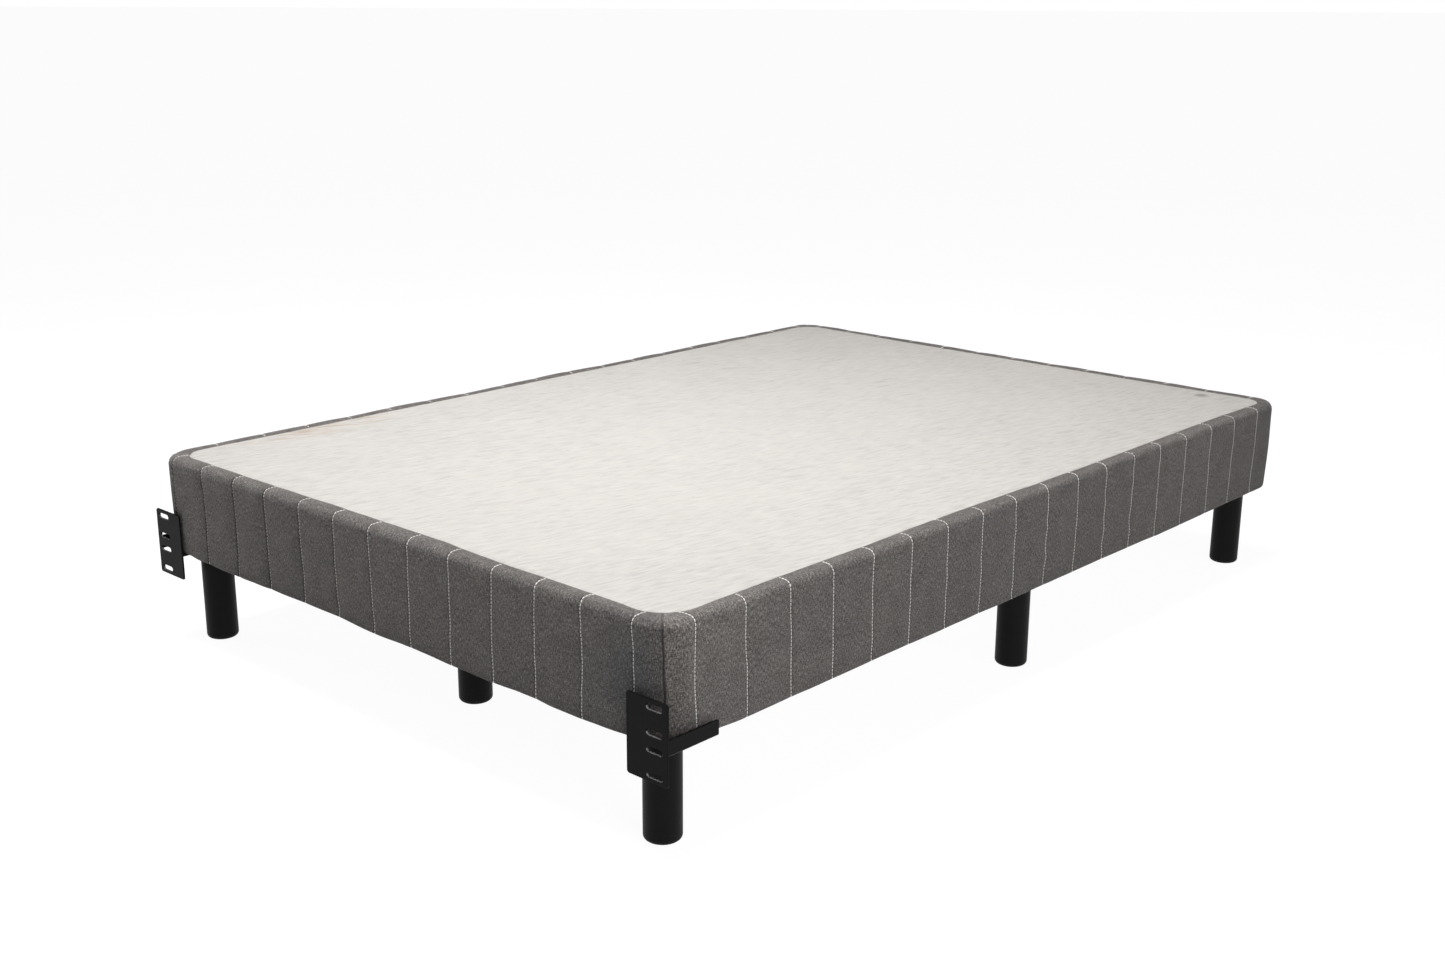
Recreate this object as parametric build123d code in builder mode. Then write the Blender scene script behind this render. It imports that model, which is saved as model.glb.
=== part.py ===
from build123d import *
import os

# Full-size upholstered bed base on nine screw-in legs, with two slotted headboard brackets.
# Millimetres. +Z is up and z = 0 is the floor. +Y runs from the head end to the foot end,
# and +X is the right side. The origin is on the floor under the middle of the base.

os.makedirs("parts", exist_ok=True)

# ---- Driving dimensions ----
WIDTH = 1346.0  # across the bed, fabric to fabric (53 in)
LENGTH = 1905.0  # head to foot, fabric to fabric (75 in)
TOP_Z = 367.0  # mattress face above the floor
BASE_Z = 182.0  # underside of the upholstered base

FABRIC = 5.0  # quilted border cloth with its foam backing
CORNER_R = 50.0  # upright corners of the border
FRAME_CORNER_R = 50.0  # rounded corners of what the border wraps
CLOTH = 2.0  # nonwoven top cloth
DUST = 1.0  # dust cover under the base
COVER_HOLE_GAP = 3.0  # dust cover's holes stand this clear of studs and bolts
FELT = 6.0  # insulator pad under the top cloth
DECK = 4.0  # fibreboard deck
BOARD = 19.0  # thickness of every timber board
FLAT_BOARD = 140.0  # width of the boards that lie flat at the bottom
SLAT_WIDTH = 89.0
SLAT_COUNT = 13
BRACE_DEPTH = 89.0
BRACE_COUNT = 3
POST = 38.0  # square corner posts
BLOCK_X, BLOCK_Y, BLOCK_Z = 90.0, 76.0, 38.0  # timber block over each leg

LEG_R = 30.0
LEG_WALL = 4.0
LEG_TOP_WALL = 10.0
LEG_EDGE_R = 8.0  # rounded bottom edge of a leg
LEG_SIDE_INSET = 69.0  # corner leg centre to the side of the base
MID_LEG_SIDE_INSET = 77.0  # middle leg centre to the side of the base
LEG_END_INSET = 62.0  # corner leg centre to the end of the base
MID_LEG_Y = 48.0  # middle side legs stand just past mid length
CENTRE_LEG_INSET = 200.5  # outer centre legs to the ends of the base
PLATE = 3.0  # steel of the brackets, and the washers that match it
GLIDE_R = 21.0
GLIDE_PLUG_R = 18.0
GLIDE_STAND = 1.0  # the glide stands this far below the leg's own bottom
GLIDE_RIM = 2.0  # of the glide's wide part inside the leg
GLIDE_DEPTH = 9.0  # of the whole glide inside the leg
GLIDE_GAP = 0.2
GLIDE_EDGE_R = 0.8
LEG_TOP_EDGE_R = 0.8
LEG_WASHER_R = 26.0
LEG_WASHER_GAP = 0.5  # radial clearance of a leg's stud in its washer

STUD_R = 5.0  # M10 stud, thread drawn as a plain cylinder
STUD_BELOW = 36.0  # of the stud inside the leg
STUD_ABOVE = 28.0  # of the stud above the leg
STUD_FIT = 0.05  # radial clearance of the stud in its insert
STUD_SEAT_GAP = 0.1  # radial clearance of the stud in the leg
STUD_END_GAP = 0.2  # and below its end
STUD_CHAMFER = 1.2
INSERT_R = 6.5
INSERT_FLANGE_R = 12.0
INSERT_FLANGE = 2.0
INSERT_RECESS = 2.0  # inserts stop this far short of the boards' undersides
POCKET_GAP = 1.0  # around an insert's flange in the block over it

BRACKET_OUT = 10.5  # front face of the headboard plate, beyond the head end
BRACKET_SIDE = 13.5  # outer edge of the headboard plate, beyond the side
PLATE_W = 82.5
PLATE_H = 127.0
PLATE_MID_Z = 196.0
PLATE_CORNER_R = 5.0
PLATE_EDGE_R = 0.8  # rolled front edges of the plate and of its slots
SLOT_W = 9.5
SLOT_L = 32.0
SLOT_INSET = 13.0  # slot centre to the side of the base, inwards
SLOT_PITCHES = (26.0, 104.0)  # inner pair and outer pair of slots, centre to centre
ARM_SIDE = 12.0  # outer face of the arm, beyond the side
ARM_RISE = 25.0  # height of the arm's upright flange
ARM_FLANGE = 94.0  # width of the arm's flat flange
ARM_REACH = 96.0  # end of the arm, past the head end
ARM_BEND_R = 4.0
ARM_TOP_R = 2.0  # far top corner of the upright flange
ARM_TIP_R = 6.0  # far inner corner of the flat flange
ARM_NECK = 25.0  # the flat flange is no wider than the plate for this far behind it
ARM_SLOT_GAP = 0.5  # radial clearance of stud and bolt in the arm's slots
ARM_TRAVEL = 20.0  # how far a bracket slides out on its slots
NUT_NOTCH_X, NUT_NOTCH_Y = 42.0, 12.0  # room for a nut behind the lower slots

BOLT_R = 4.0  # M8 bracket bolt
BOLT_INSET_X, BOLT_INSET_Y = 33.0, 27.5  # bolt centre from the side and from the head end
BOLT_HEAD_H = 5.3
BOLT_HEAD_AF = 13.0
BOLT_WASHER = 1.6
BOLT_WASHER_R = 9.0
BOLT_WASHER_GAP = 0.3  # radial clearance of the bolt in its washer
BOLT_CHAMFER = 0.6
BOLT_TOP_Z = 200.0
BOLT_INSERT_R = 5.2

SCREW_R = 2.1
SCREW_HEAD_R = 4.2
SCREW_HEAD_H = 2.4
SCREW_LENGTH = 44.0
SCREW_TIP = 4.0
PILOT_SPARE = 1.0  # a pilot hole is this much deeper than its screw
SCREW_GAP = 0.15  # pilot holes stand this clear of the screw
BLOCK_SCREW_X = 33.0

# ---- Worked-out places ----
HALF_W = WIDTH / 2
HALF_L = LENGTH / 2
IN_X = HALF_W - FABRIC  # outer face of the timber, at the sides
IN_Y = HALF_L - FABRIC  # outer face of the timber, at the ends
FLOOR_BOARD_Z = BASE_Z + DUST
UPRIGHT_Z = FLOOR_BOARD_Z + BOARD
CLOTH_Z = TOP_Z - CLOTH
FELT_Z = CLOTH_Z - FELT
DECK_Z = FELT_Z - DECK
SLAT_Z = DECK_Z - BOARD
UPRIGHT_H = SLAT_Z - UPRIGHT_Z
LEG_TOP_Z = BASE_Z - PLATE
HEAD_Y = -HALF_L
JOIST_X = BLOCK_X / 2 + BOARD / 2

SIDES = {"left": -1, "right": 1}
ENDS = {"head": -1, "foot": 1}
LEG_X = HALF_W - LEG_SIDE_INSET
MID_LEG_X = HALF_W - MID_LEG_SIDE_INSET
LEG_Y = HALF_L - LEG_END_INSET
CENTRE_LEG_Y = HALF_L - CENTRE_LEG_INSET
LEGS = {
    "head_left": (-LEG_X, -LEG_Y),
    "head_right": (LEG_X, -LEG_Y),
    "mid_left": (-MID_LEG_X, MID_LEG_Y),
    "mid_right": (MID_LEG_X, MID_LEG_Y),
    "foot_left": (-LEG_X, LEG_Y),
    "foot_right": (LEG_X, LEG_Y),
    "centre_head": (0.0, -CENTRE_LEG_Y),
    "centre_mid": (0.0, 0.0),
    "centre_foot": (0.0, CENTRE_LEG_Y),
}
LEG_SPOTS = list(LEGS.values())
WASHER_SPOTS = [spot for name, spot in LEGS.items() if name not in ("head_left", "head_right")]
BOLT_X = HALF_W - BOLT_INSET_X
BOLT_Y = HEAD_Y + BOLT_INSET_Y
BOLT_SPOTS = [(-BOLT_X, BOLT_Y), (BOLT_X, BOLT_Y)]
SLAT_PITCH = (2 * IN_Y - SLAT_WIDTH) / (SLAT_COUNT - 1)
SLAT_YS = [-IN_Y + SLAT_WIDTH / 2 + i * SLAT_PITCH for i in range(SLAT_COUNT)]
SLAT_SCREW_XS = (-IN_X + BOARD / 2, -JOIST_X, JOIST_X, IN_X - BOARD / 2)
SLAT_SCREW_SPOTS = [(x, y) for y in SLAT_YS for x in SLAT_SCREW_XS]
BLOCK_SCREW_SPOTS = [(x + s * BLOCK_SCREW_X, y) for x, y in LEG_SPOTS for s in (-1, 1)]
PILOT_R = SCREW_R + SCREW_GAP


def finish(part, name):
    """Label a finished piece and write it to its own STEP file."""
    part.label = name
    export_step(part, f"parts/{name}.step")


# ---- Cloth, pad and deck: everything the border wraps, from the top down ----
with BuildPart() as top_cloth:
    with BuildSketch(Plane.XY.offset(CLOTH_Z)):
        RectangleRounded(2 * IN_X, 2 * IN_Y, FRAME_CORNER_R)
    extrude(amount=CLOTH)
finish(top_cloth.part, "top_cloth")

with BuildPart() as felt_pad:
    with BuildSketch(Plane.XY.offset(FELT_Z)):
        RectangleRounded(2 * IN_X, 2 * IN_Y, FRAME_CORNER_R)
    extrude(amount=FELT)
finish(felt_pad.part, "felt_pad")

with BuildPart() as deck_board:
    with BuildSketch(Plane.XY.offset(DECK_Z)):
        RectangleRounded(2 * IN_X, 2 * IN_Y, FRAME_CORNER_R)
    extrude(amount=DECK)
finish(deck_board.part, "deck_board")

with BuildPart() as top_slats:
    with BuildSketch(Plane.XY.offset(SLAT_Z)):
        with Locations(*[(0, y) for y in SLAT_YS]):
            Rectangle(2 * IN_X, SLAT_WIDTH)
    extrude(amount=BOARD)
    with BuildSketch(Plane.XY.offset(SLAT_Z)):
        RectangleRounded(2 * IN_X, 2 * IN_Y, FRAME_CORNER_R)
    extrude(amount=BOARD, mode=Mode.INTERSECT)
    with Locations(*[(x, y, DECK_Z) for x, y in SLAT_SCREW_SPOTS]):
        CounterSinkHole(PILOT_R, SCREW_HEAD_R + SCREW_GAP, depth=BOARD)
finish(top_slats.part, "top_slats")

# ---- Dust cover and the flat boards that take the legs ----
with BuildPart() as dust_cover:
    with BuildSketch(Plane.XY.offset(BASE_Z)):
        RectangleRounded(2 * IN_X, 2 * IN_Y, FRAME_CORNER_R)
        with Locations(*LEG_SPOTS):
            Circle(STUD_R + COVER_HOLE_GAP, mode=Mode.SUBTRACT)
        with Locations(*BOLT_SPOTS):
            Circle(BOLT_R + COVER_HOLE_GAP, mode=Mode.SUBTRACT)
    extrude(amount=DUST)
finish(dust_cover.part, "dust_cover")

for side, s in SIDES.items():
    with BuildPart() as bottom_side_board:
        with BuildSketch(Plane.XY.offset(FLOOR_BOARD_Z)):
            RectangleRounded(2 * IN_X, 2 * IN_Y, FRAME_CORNER_R)
            with Locations((s * (IN_X - FLAT_BOARD / 2), 0)):
                Rectangle(FLAT_BOARD, 2 * IN_Y, mode=Mode.INTERSECT)
            with Locations(*[spot for spot in LEG_SPOTS if spot[0] * s > 0]):
                Circle(INSERT_R + SCREW_GAP, mode=Mode.SUBTRACT)
            with Locations(*[spot for spot in BOLT_SPOTS if spot[0] * s > 0]):
                Circle(BOLT_INSERT_R + SCREW_GAP, mode=Mode.SUBTRACT)
        extrude(amount=BOARD)
        with Locations(*[(x, y, FLOOR_BOARD_Z) for x, y in BLOCK_SCREW_SPOTS if x * s > LEG_X / 2]):
            with Locations(Rotation(180, 0, 0)):
                CounterSinkHole(PILOT_R, SCREW_HEAD_R + SCREW_GAP, depth=BOARD)
    finish(bottom_side_board.part, f"bottom_side_board_{side}")

for end, e in ENDS.items():
    with BuildPart() as bottom_end_board:
        with BuildSketch(Plane.XY.offset(FLOOR_BOARD_Z)):
            with Locations((0, e * (IN_Y - FLAT_BOARD / 2))):
                Rectangle(2 * (IN_X - FLAT_BOARD), FLAT_BOARD)
        extrude(amount=BOARD)
    finish(bottom_end_board.part, f"bottom_end_board_{end}")

with BuildPart() as bottom_centre_board:
    with BuildSketch(Plane.XY.offset(FLOOR_BOARD_Z)):
        Rectangle(FLAT_BOARD, 2 * (IN_Y - FLAT_BOARD))
        with Locations(*[spot for spot in LEG_SPOTS if spot[0] == 0]):
            Circle(INSERT_R + SCREW_GAP, mode=Mode.SUBTRACT)
    extrude(amount=BOARD)
    with Locations(*[(x, y, FLOOR_BOARD_Z) for x, y in BLOCK_SCREW_SPOTS if abs(x) < LEG_X / 2]):
        with Locations(Rotation(180, 0, 0)):
            CounterSinkHole(PILOT_R, SCREW_HEAD_R + SCREW_GAP, depth=BOARD)
finish(bottom_centre_board.part, "bottom_centre_board")

# ---- Boards on edge, between the flat boards and the slats ----
SCREW_BITE = SCREW_LENGTH - BOARD + PILOT_SPARE  # pilot depth in whatever a screw holds

for side, s in SIDES.items():
    with BuildPart() as side_board:
        with BuildSketch(Plane.XY.offset(UPRIGHT_Z)):
            RectangleRounded(2 * IN_X, 2 * IN_Y, FRAME_CORNER_R)
            with Locations((s * (IN_X - BOARD / 2), 0)):
                Rectangle(BOARD, 2 * IN_Y, mode=Mode.INTERSECT)
        extrude(amount=UPRIGHT_H)
        with Locations(*[(x, y, SLAT_Z) for x, y in SLAT_SCREW_SPOTS if x * s > LEG_X]):
            Hole(PILOT_R, SCREW_BITE)
    finish(side_board.part, f"side_board_{side}")

for end, e in ENDS.items():
    with BuildPart() as end_board:
        with BuildSketch(Plane.XY.offset(UPRIGHT_Z)):
            RectangleRounded(2 * IN_X, 2 * IN_Y, FRAME_CORNER_R)
            with Locations((0, e * (IN_Y - BOARD / 2))):
                Rectangle(2 * (IN_X - BOARD), BOARD, mode=Mode.INTERSECT)
        extrude(amount=UPRIGHT_H)
    finish(end_board.part, f"end_board_{end}")

with BuildPart() as centre_joists:
    with BuildSketch(Plane.XY.offset(UPRIGHT_Z)):
        with Locations((-JOIST_X, 0), (JOIST_X, 0)):
            Rectangle(BOARD, 2 * (IN_Y - BOARD))
    extrude(amount=UPRIGHT_H)
    with Locations(*[(x, y, SLAT_Z) for x, y in SLAT_SCREW_SPOTS if abs(x) < LEG_X]):
        Hole(PILOT_R, SCREW_BITE)
finish(centre_joists.part, "centre_joists")

BRACE_L = IN_X - BOARD - JOIST_X - BOARD / 2
BRACE_X = JOIST_X + BOARD / 2 + BRACE_L / 2
BRACE_PITCH = 2 * IN_Y / (BRACE_COUNT + 1)
with BuildPart() as cross_braces:
    with BuildSketch(Plane.XY.offset(SLAT_Z - BRACE_DEPTH)):
        with GridLocations(2 * BRACE_X, BRACE_PITCH, 2, BRACE_COUNT):
            Rectangle(BRACE_L, BOARD)
    extrude(amount=BRACE_DEPTH)
finish(cross_braces.part, "cross_braces")

with BuildPart() as corner_posts:
    with BuildSketch(Plane.XY.offset(UPRIGHT_Z + BLOCK_Z)):
        with GridLocations(2 * (IN_X - BOARD) - POST, 2 * (IN_Y - BOARD) - POST, 2, 2):
            Rectangle(POST, POST)
    extrude(amount=UPRIGHT_H - BLOCK_Z)
finish(corner_posts.part, "corner_posts")

# Each block has a pocket underneath for the insert's flange and the tip of the stud.
POCKET_DEPTH = 12.0
with BuildPart() as leg_blocks:
    with BuildSketch(Plane.XY.offset(UPRIGHT_Z)):
        with Locations(*LEG_SPOTS):
            Rectangle(BLOCK_X, BLOCK_Y)
    extrude(amount=BLOCK_Z)
    with BuildSketch(Plane.XY.offset(UPRIGHT_Z)):
        with Locations(*LEG_SPOTS):
            Circle(INSERT_FLANGE_R + POCKET_GAP)
    extrude(amount=POCKET_DEPTH, mode=Mode.SUBTRACT)
    with BuildSketch(Plane.XY.offset(UPRIGHT_Z)):
        with Locations(*BLOCK_SCREW_SPOTS):
            Circle(PILOT_R)
    extrude(amount=SCREW_BITE, mode=Mode.SUBTRACT)
finish(leg_blocks.part, "leg_blocks")

# ---- Fasteners inside the frame ----
with BuildPart() as screw_down:
    with BuildSketch(Plane.XZ):
        with BuildLine():
            Polyline(
                (0, 0),
                (SCREW_HEAD_R, 0),
                (SCREW_R, -SCREW_HEAD_H),
                (SCREW_R, -SCREW_LENGTH + SCREW_TIP),
                (0, -SCREW_LENGTH),
                close=True,
            )
        make_face()
    revolve(axis=Axis.Z)

with BuildPart() as frame_screws:
    with Locations(*[(x, y, DECK_Z) for x, y in SLAT_SCREW_SPOTS]):
        add(screw_down.part)
    with Locations(*[Location((x, y, FLOOR_BOARD_Z), (180, 0, 0)) for x, y in BLOCK_SCREW_SPOTS]):
        add(screw_down.part)
finish(frame_screws.part, "frame_screws")

with BuildPart() as leg_inserts:
    with BuildSketch(Plane.XY.offset(FLOOR_BOARD_Z + INSERT_RECESS)):
        with Locations(*LEG_SPOTS):
            Circle(INSERT_R)
    extrude(amount=BOARD - INSERT_RECESS)
    with BuildSketch(Plane.XY.offset(UPRIGHT_Z)):
        with Locations(*LEG_SPOTS):
            Circle(INSERT_FLANGE_R)
    extrude(amount=INSERT_FLANGE)
    with Locations(*[(x, y, UPRIGHT_Z + INSERT_FLANGE) for x, y in LEG_SPOTS]):
        Hole(STUD_R + STUD_FIT, BOARD + INSERT_FLANGE)
finish(leg_inserts.part, "leg_inserts")

with BuildPart() as leg_washers:
    with BuildSketch(Plane.XY.offset(LEG_TOP_Z)):
        with Locations(*WASHER_SPOTS):
            Circle(LEG_WASHER_R)
            Circle(STUD_R + LEG_WASHER_GAP, mode=Mode.SUBTRACT)
    extrude(amount=PLATE)
finish(leg_washers.part, "leg_washers")

with BuildPart() as bracket_inserts:
    with BuildSketch(Plane.XY.offset(FLOOR_BOARD_Z + INSERT_RECESS)):
        with Locations(*BOLT_SPOTS):
            Circle(BOLT_INSERT_R)
            Circle(BOLT_R + STUD_FIT, mode=Mode.SUBTRACT)
    extrude(amount=BOARD - INSERT_RECESS)
finish(bracket_inserts.part, "bracket_inserts")

BOLT_SEAT_Z = LEG_TOP_Z - BOLT_WASHER
with BuildPart() as bracket_bolts:
    with BuildSketch(Plane.XY.offset(BOLT_SEAT_Z - BOLT_HEAD_H)):
        with Locations(*BOLT_SPOTS):
            RegularPolygon(BOLT_HEAD_AF / 2, 6, major_radius=False)
    extrude(amount=BOLT_HEAD_H)
    chamfer(bracket_bolts.edges().group_by(Axis.Z)[0], BOLT_CHAMFER)
    with BuildSketch(Plane.XY.offset(BOLT_SEAT_Z)):
        with Locations(*BOLT_SPOTS):
            Circle(BOLT_R)
    extrude(amount=BOLT_TOP_Z - BOLT_SEAT_Z)
finish(bracket_bolts.part, "bracket_bolts")

with BuildPart() as bracket_washers:
    with BuildSketch(Plane.XY.offset(BOLT_SEAT_Z)):
        with Locations(*BOLT_SPOTS):
            Circle(BOLT_WASHER_R)
            Circle(BOLT_R + BOLT_WASHER_GAP, mode=Mode.SUBTRACT)
    extrude(amount=BOLT_WASHER)
finish(bracket_washers.part, "bracket_washers")

# ---- Border cloth: four panels, seamed in the middle of each rounded corner ----
PANELS = {
    "border_left": (-1, 0),
    "border_right": (1, 0),
    "border_head": (0, -1),
    "border_foot": (0, 1),
}
for name, (px, py) in PANELS.items():
    with BuildPart() as border:
        with BuildSketch(Plane.XY.offset(BASE_Z)):
            RectangleRounded(WIDTH, LENGTH, CORNER_R)
            RectangleRounded(2 * IN_X, 2 * IN_Y, CORNER_R - FABRIC, mode=Mode.SUBTRACT)
        extrude(amount=TOP_Z - BASE_Z)
        for turn in (-1, 1):
            corner_x = HALF_W * (px if px else turn)
            corner_y = HALF_L * (py if py else turn)
            out_x = px - turn * abs(py)
            out_y = py - turn * abs(px)
            split(bisect_by=Plane((corner_x, corner_y, 0), z_dir=(out_x, out_y, 0)), keep=Keep.TOP)
    finish(border.part, name)

# ---- Legs: a moulded shell, a threaded stud and a glide for each ----
BOSS_R = 13.0
BOSS_FLOOR = 5.0  # of the boss below the stud
BOSS_Z = LEG_TOP_Z - STUD_BELOW - BOSS_FLOOR
HOLLOW_Z = GLIDE_STAND + GLIDE_DEPTH
for name, (x, y) in LEGS.items():
    with BuildPart() as leg_shell:
        with BuildSketch(Plane(origin=(x, y, GLIDE_STAND))):
            Circle(LEG_R)
        extrude(amount=LEG_TOP_Z - GLIDE_STAND)
        fillet(leg_shell.edges().group_by(Axis.Z)[0], LEG_EDGE_R)
        fillet(leg_shell.edges().group_by(Axis.Z)[-1], LEG_TOP_EDGE_R)
        with BuildSketch(Plane(origin=(x, y, GLIDE_STAND))):
            Circle(GLIDE_R + GLIDE_GAP)
        extrude(amount=GLIDE_RIM, mode=Mode.SUBTRACT)
        with BuildSketch(Plane(origin=(x, y, GLIDE_STAND))):
            Circle(GLIDE_PLUG_R + GLIDE_GAP)
        extrude(amount=GLIDE_DEPTH, mode=Mode.SUBTRACT)
        with BuildSketch(Plane(origin=(x, y, HOLLOW_Z))):
            Circle(LEG_R - LEG_WALL)
        extrude(amount=LEG_TOP_Z - LEG_TOP_WALL - HOLLOW_Z, mode=Mode.SUBTRACT)
        with BuildSketch(Plane(origin=(x, y, BOSS_Z))):
            Circle(BOSS_R)
        extrude(amount=LEG_TOP_Z - LEG_TOP_WALL - BOSS_Z)
        with Locations((x, y, LEG_TOP_Z)):
            Hole(STUD_R + STUD_SEAT_GAP, STUD_BELOW + STUD_END_GAP)
    finish(leg_shell.part, f"leg_shell_{name}")

    with BuildPart() as leg_stud:
        with BuildSketch(Plane(origin=(x, y, LEG_TOP_Z - STUD_BELOW))):
            Circle(STUD_R)
        extrude(amount=STUD_BELOW + STUD_ABOVE)
        chamfer(leg_stud.edges().group_by(Axis.Z)[-1], STUD_CHAMFER)
    finish(leg_stud.part, f"leg_stud_{name}")

    with BuildPart() as leg_glide:
        with BuildSketch(Plane(origin=(x, y, 0))):
            Circle(GLIDE_R)
        extrude(amount=GLIDE_STAND + GLIDE_RIM)
        with BuildSketch(Plane(origin=(x, y, GLIDE_STAND + GLIDE_RIM))):
            Circle(GLIDE_PLUG_R)
        extrude(amount=GLIDE_DEPTH - GLIDE_RIM)
        fillet(leg_glide.edges().group_by(Axis.Z)[0], GLIDE_EDGE_R)
    finish(leg_glide.part, f"leg_glide_{name}")

# ---- Headboard brackets: a slotted plate on an angle-iron arm, one pair ----
PLATE_FRONT_Y = HEAD_Y - BRACKET_OUT
PLATE_BACK_Y = PLATE_FRONT_Y + PLATE
SLOT_ZS = [PLATE_MID_Z + s * pitch / 2 for pitch in SLOT_PITCHES for s in (-1, 1)]
ARM_END_Y = HEAD_Y + ARM_REACH
ARM_L = ARM_END_Y - PLATE_BACK_Y
STUD_SLOT_R = STUD_R + ARM_SLOT_GAP
BOLT_SLOT_R = BOLT_R + ARM_SLOT_GAP
NECK_CUT = ARM_FLANGE - (PLATE_W - BRACKET_SIDE + ARM_SIDE)
for side, s in SIDES.items():
    plate_x = s * (HALF_W + BRACKET_SIDE - PLATE_W / 2)
    slot_x = s * (HALF_W - SLOT_INSET)
    arm_x = s * (HALF_W + ARM_SIDE)
    # The XZ plane faces -Y, so a positive extrusion comes forward.
    with BuildPart() as headboard_plate:
        with BuildSketch(Plane.XZ.offset(-PLATE_BACK_Y)):
            with Locations((plate_x, PLATE_MID_Z)):
                RectangleRounded(PLATE_W, PLATE_H, PLATE_CORNER_R)
            with Locations(*[(slot_x, z) for z in SLOT_ZS]):
                SlotOverall(SLOT_L, SLOT_W, mode=Mode.SUBTRACT)
        extrude(amount=PLATE)
        fillet(headboard_plate.edges().group_by(Axis.Y)[0], PLATE_EDGE_R)
    finish(headboard_plate.part, f"headboard_plate_{side}")

    with BuildPart() as bracket_arm:
        with BuildSketch(Plane.XZ.offset(-ARM_END_Y)):
            with BuildLine():
                Polyline(
                    (arm_x, LEG_TOP_Z),
                    (arm_x, LEG_TOP_Z + ARM_RISE),
                    (arm_x - s * PLATE, LEG_TOP_Z + ARM_RISE),
                    (arm_x - s * PLATE, BASE_Z),
                    (arm_x - s * ARM_FLANGE, BASE_Z),
                    (arm_x - s * ARM_FLANGE, LEG_TOP_Z),
                    close=True,
                )
            make_face()
        extrude(amount=ARM_L)
        outer_corner = bracket_arm.edges().filter_by(Axis.Y).group_by(Axis.Z)[0].sort_by(Axis.X)
        fillet(outer_corner[-1] if s > 0 else outer_corner[0], ARM_BEND_R)
        end_corner = bracket_arm.edges().filter_by(Axis.X).group_by(Axis.Z)[-1].sort_by(Axis.Y)[-1]
        fillet(end_corner, ARM_TOP_R)
        flange_corner = bracket_arm.edges().filter_by(Axis.Z).group_by(Axis.Y)[-1].sort_by(Axis.X)
        fillet(flange_corner[0] if s > 0 else flange_corner[-1], ARM_TIP_R)
        with BuildSketch(Plane.XY.offset(LEG_TOP_Z)):
            with Locations((s * LEG_X, -LEG_Y + ARM_TRAVEL / 2)):
                SlotOverall(ARM_TRAVEL + 2 * STUD_SLOT_R, 2 * STUD_SLOT_R, rotation=90)
            with Locations((s * BOLT_X, BOLT_Y + ARM_TRAVEL / 2)):
                SlotOverall(ARM_TRAVEL + 2 * BOLT_SLOT_R, 2 * BOLT_SLOT_R, rotation=90)
            with Locations((slot_x, PLATE_BACK_Y + NUT_NOTCH_Y / 2)):
                Rectangle(NUT_NOTCH_X, NUT_NOTCH_Y)
            with Locations((arm_x - s * (ARM_FLANGE - NECK_CUT / 2), PLATE_BACK_Y + ARM_NECK / 2)):
                Rectangle(NECK_CUT, ARM_NECK)
        extrude(amount=PLATE, mode=Mode.SUBTRACT)
    finish(bracket_arm.part, f"bracket_arm_{side}")
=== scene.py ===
import math

import bpy
import numpy as np
from mathutils import Matrix, Vector
from mathutils.geometry import delaunay_2d_cdt


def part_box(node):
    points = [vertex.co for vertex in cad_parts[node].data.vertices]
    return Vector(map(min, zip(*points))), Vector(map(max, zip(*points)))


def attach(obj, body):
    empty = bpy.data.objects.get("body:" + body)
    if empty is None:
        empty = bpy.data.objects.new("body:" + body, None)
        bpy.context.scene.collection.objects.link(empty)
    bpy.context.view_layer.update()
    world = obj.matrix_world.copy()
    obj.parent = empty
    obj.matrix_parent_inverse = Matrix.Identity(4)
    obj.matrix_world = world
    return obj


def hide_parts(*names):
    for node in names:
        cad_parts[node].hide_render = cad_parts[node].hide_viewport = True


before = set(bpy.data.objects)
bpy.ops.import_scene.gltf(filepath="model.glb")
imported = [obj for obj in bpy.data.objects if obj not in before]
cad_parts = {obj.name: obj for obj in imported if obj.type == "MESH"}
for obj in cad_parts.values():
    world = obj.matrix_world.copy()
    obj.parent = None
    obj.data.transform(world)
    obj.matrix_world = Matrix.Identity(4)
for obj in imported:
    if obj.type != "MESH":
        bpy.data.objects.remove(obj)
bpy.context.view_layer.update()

# Metres throughout, in the part's own frame: +Z up, +Y from the head end to the foot end.
lo = np.minimum(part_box("border_left")[0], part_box("border_head")[0])
hi = np.maximum(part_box("border_right")[1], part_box("border_foot")[1])
HALF_W, HALF_L = float(hi[0]), float(hi[1])
BASE_Z, TOP_Z = float(lo[2]), float(hi[2])
MM = 0.001

# Headboard slots: distance of their middles from the centre line, half length, end radius, heights.
SLOT_X, SLOT_HALF, SLOT_R = HALF_W - 13 * MM, 16 * MM, 4.75 * MM
plate_lo, plate_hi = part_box("headboard_plate_right")
SLOT_HEIGHTS = tuple(float(plate_lo[2] + plate_hi[2]) / 2 + rise * MM for rise in (-52, -13, 13, 52))

# --- Materials ---


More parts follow.
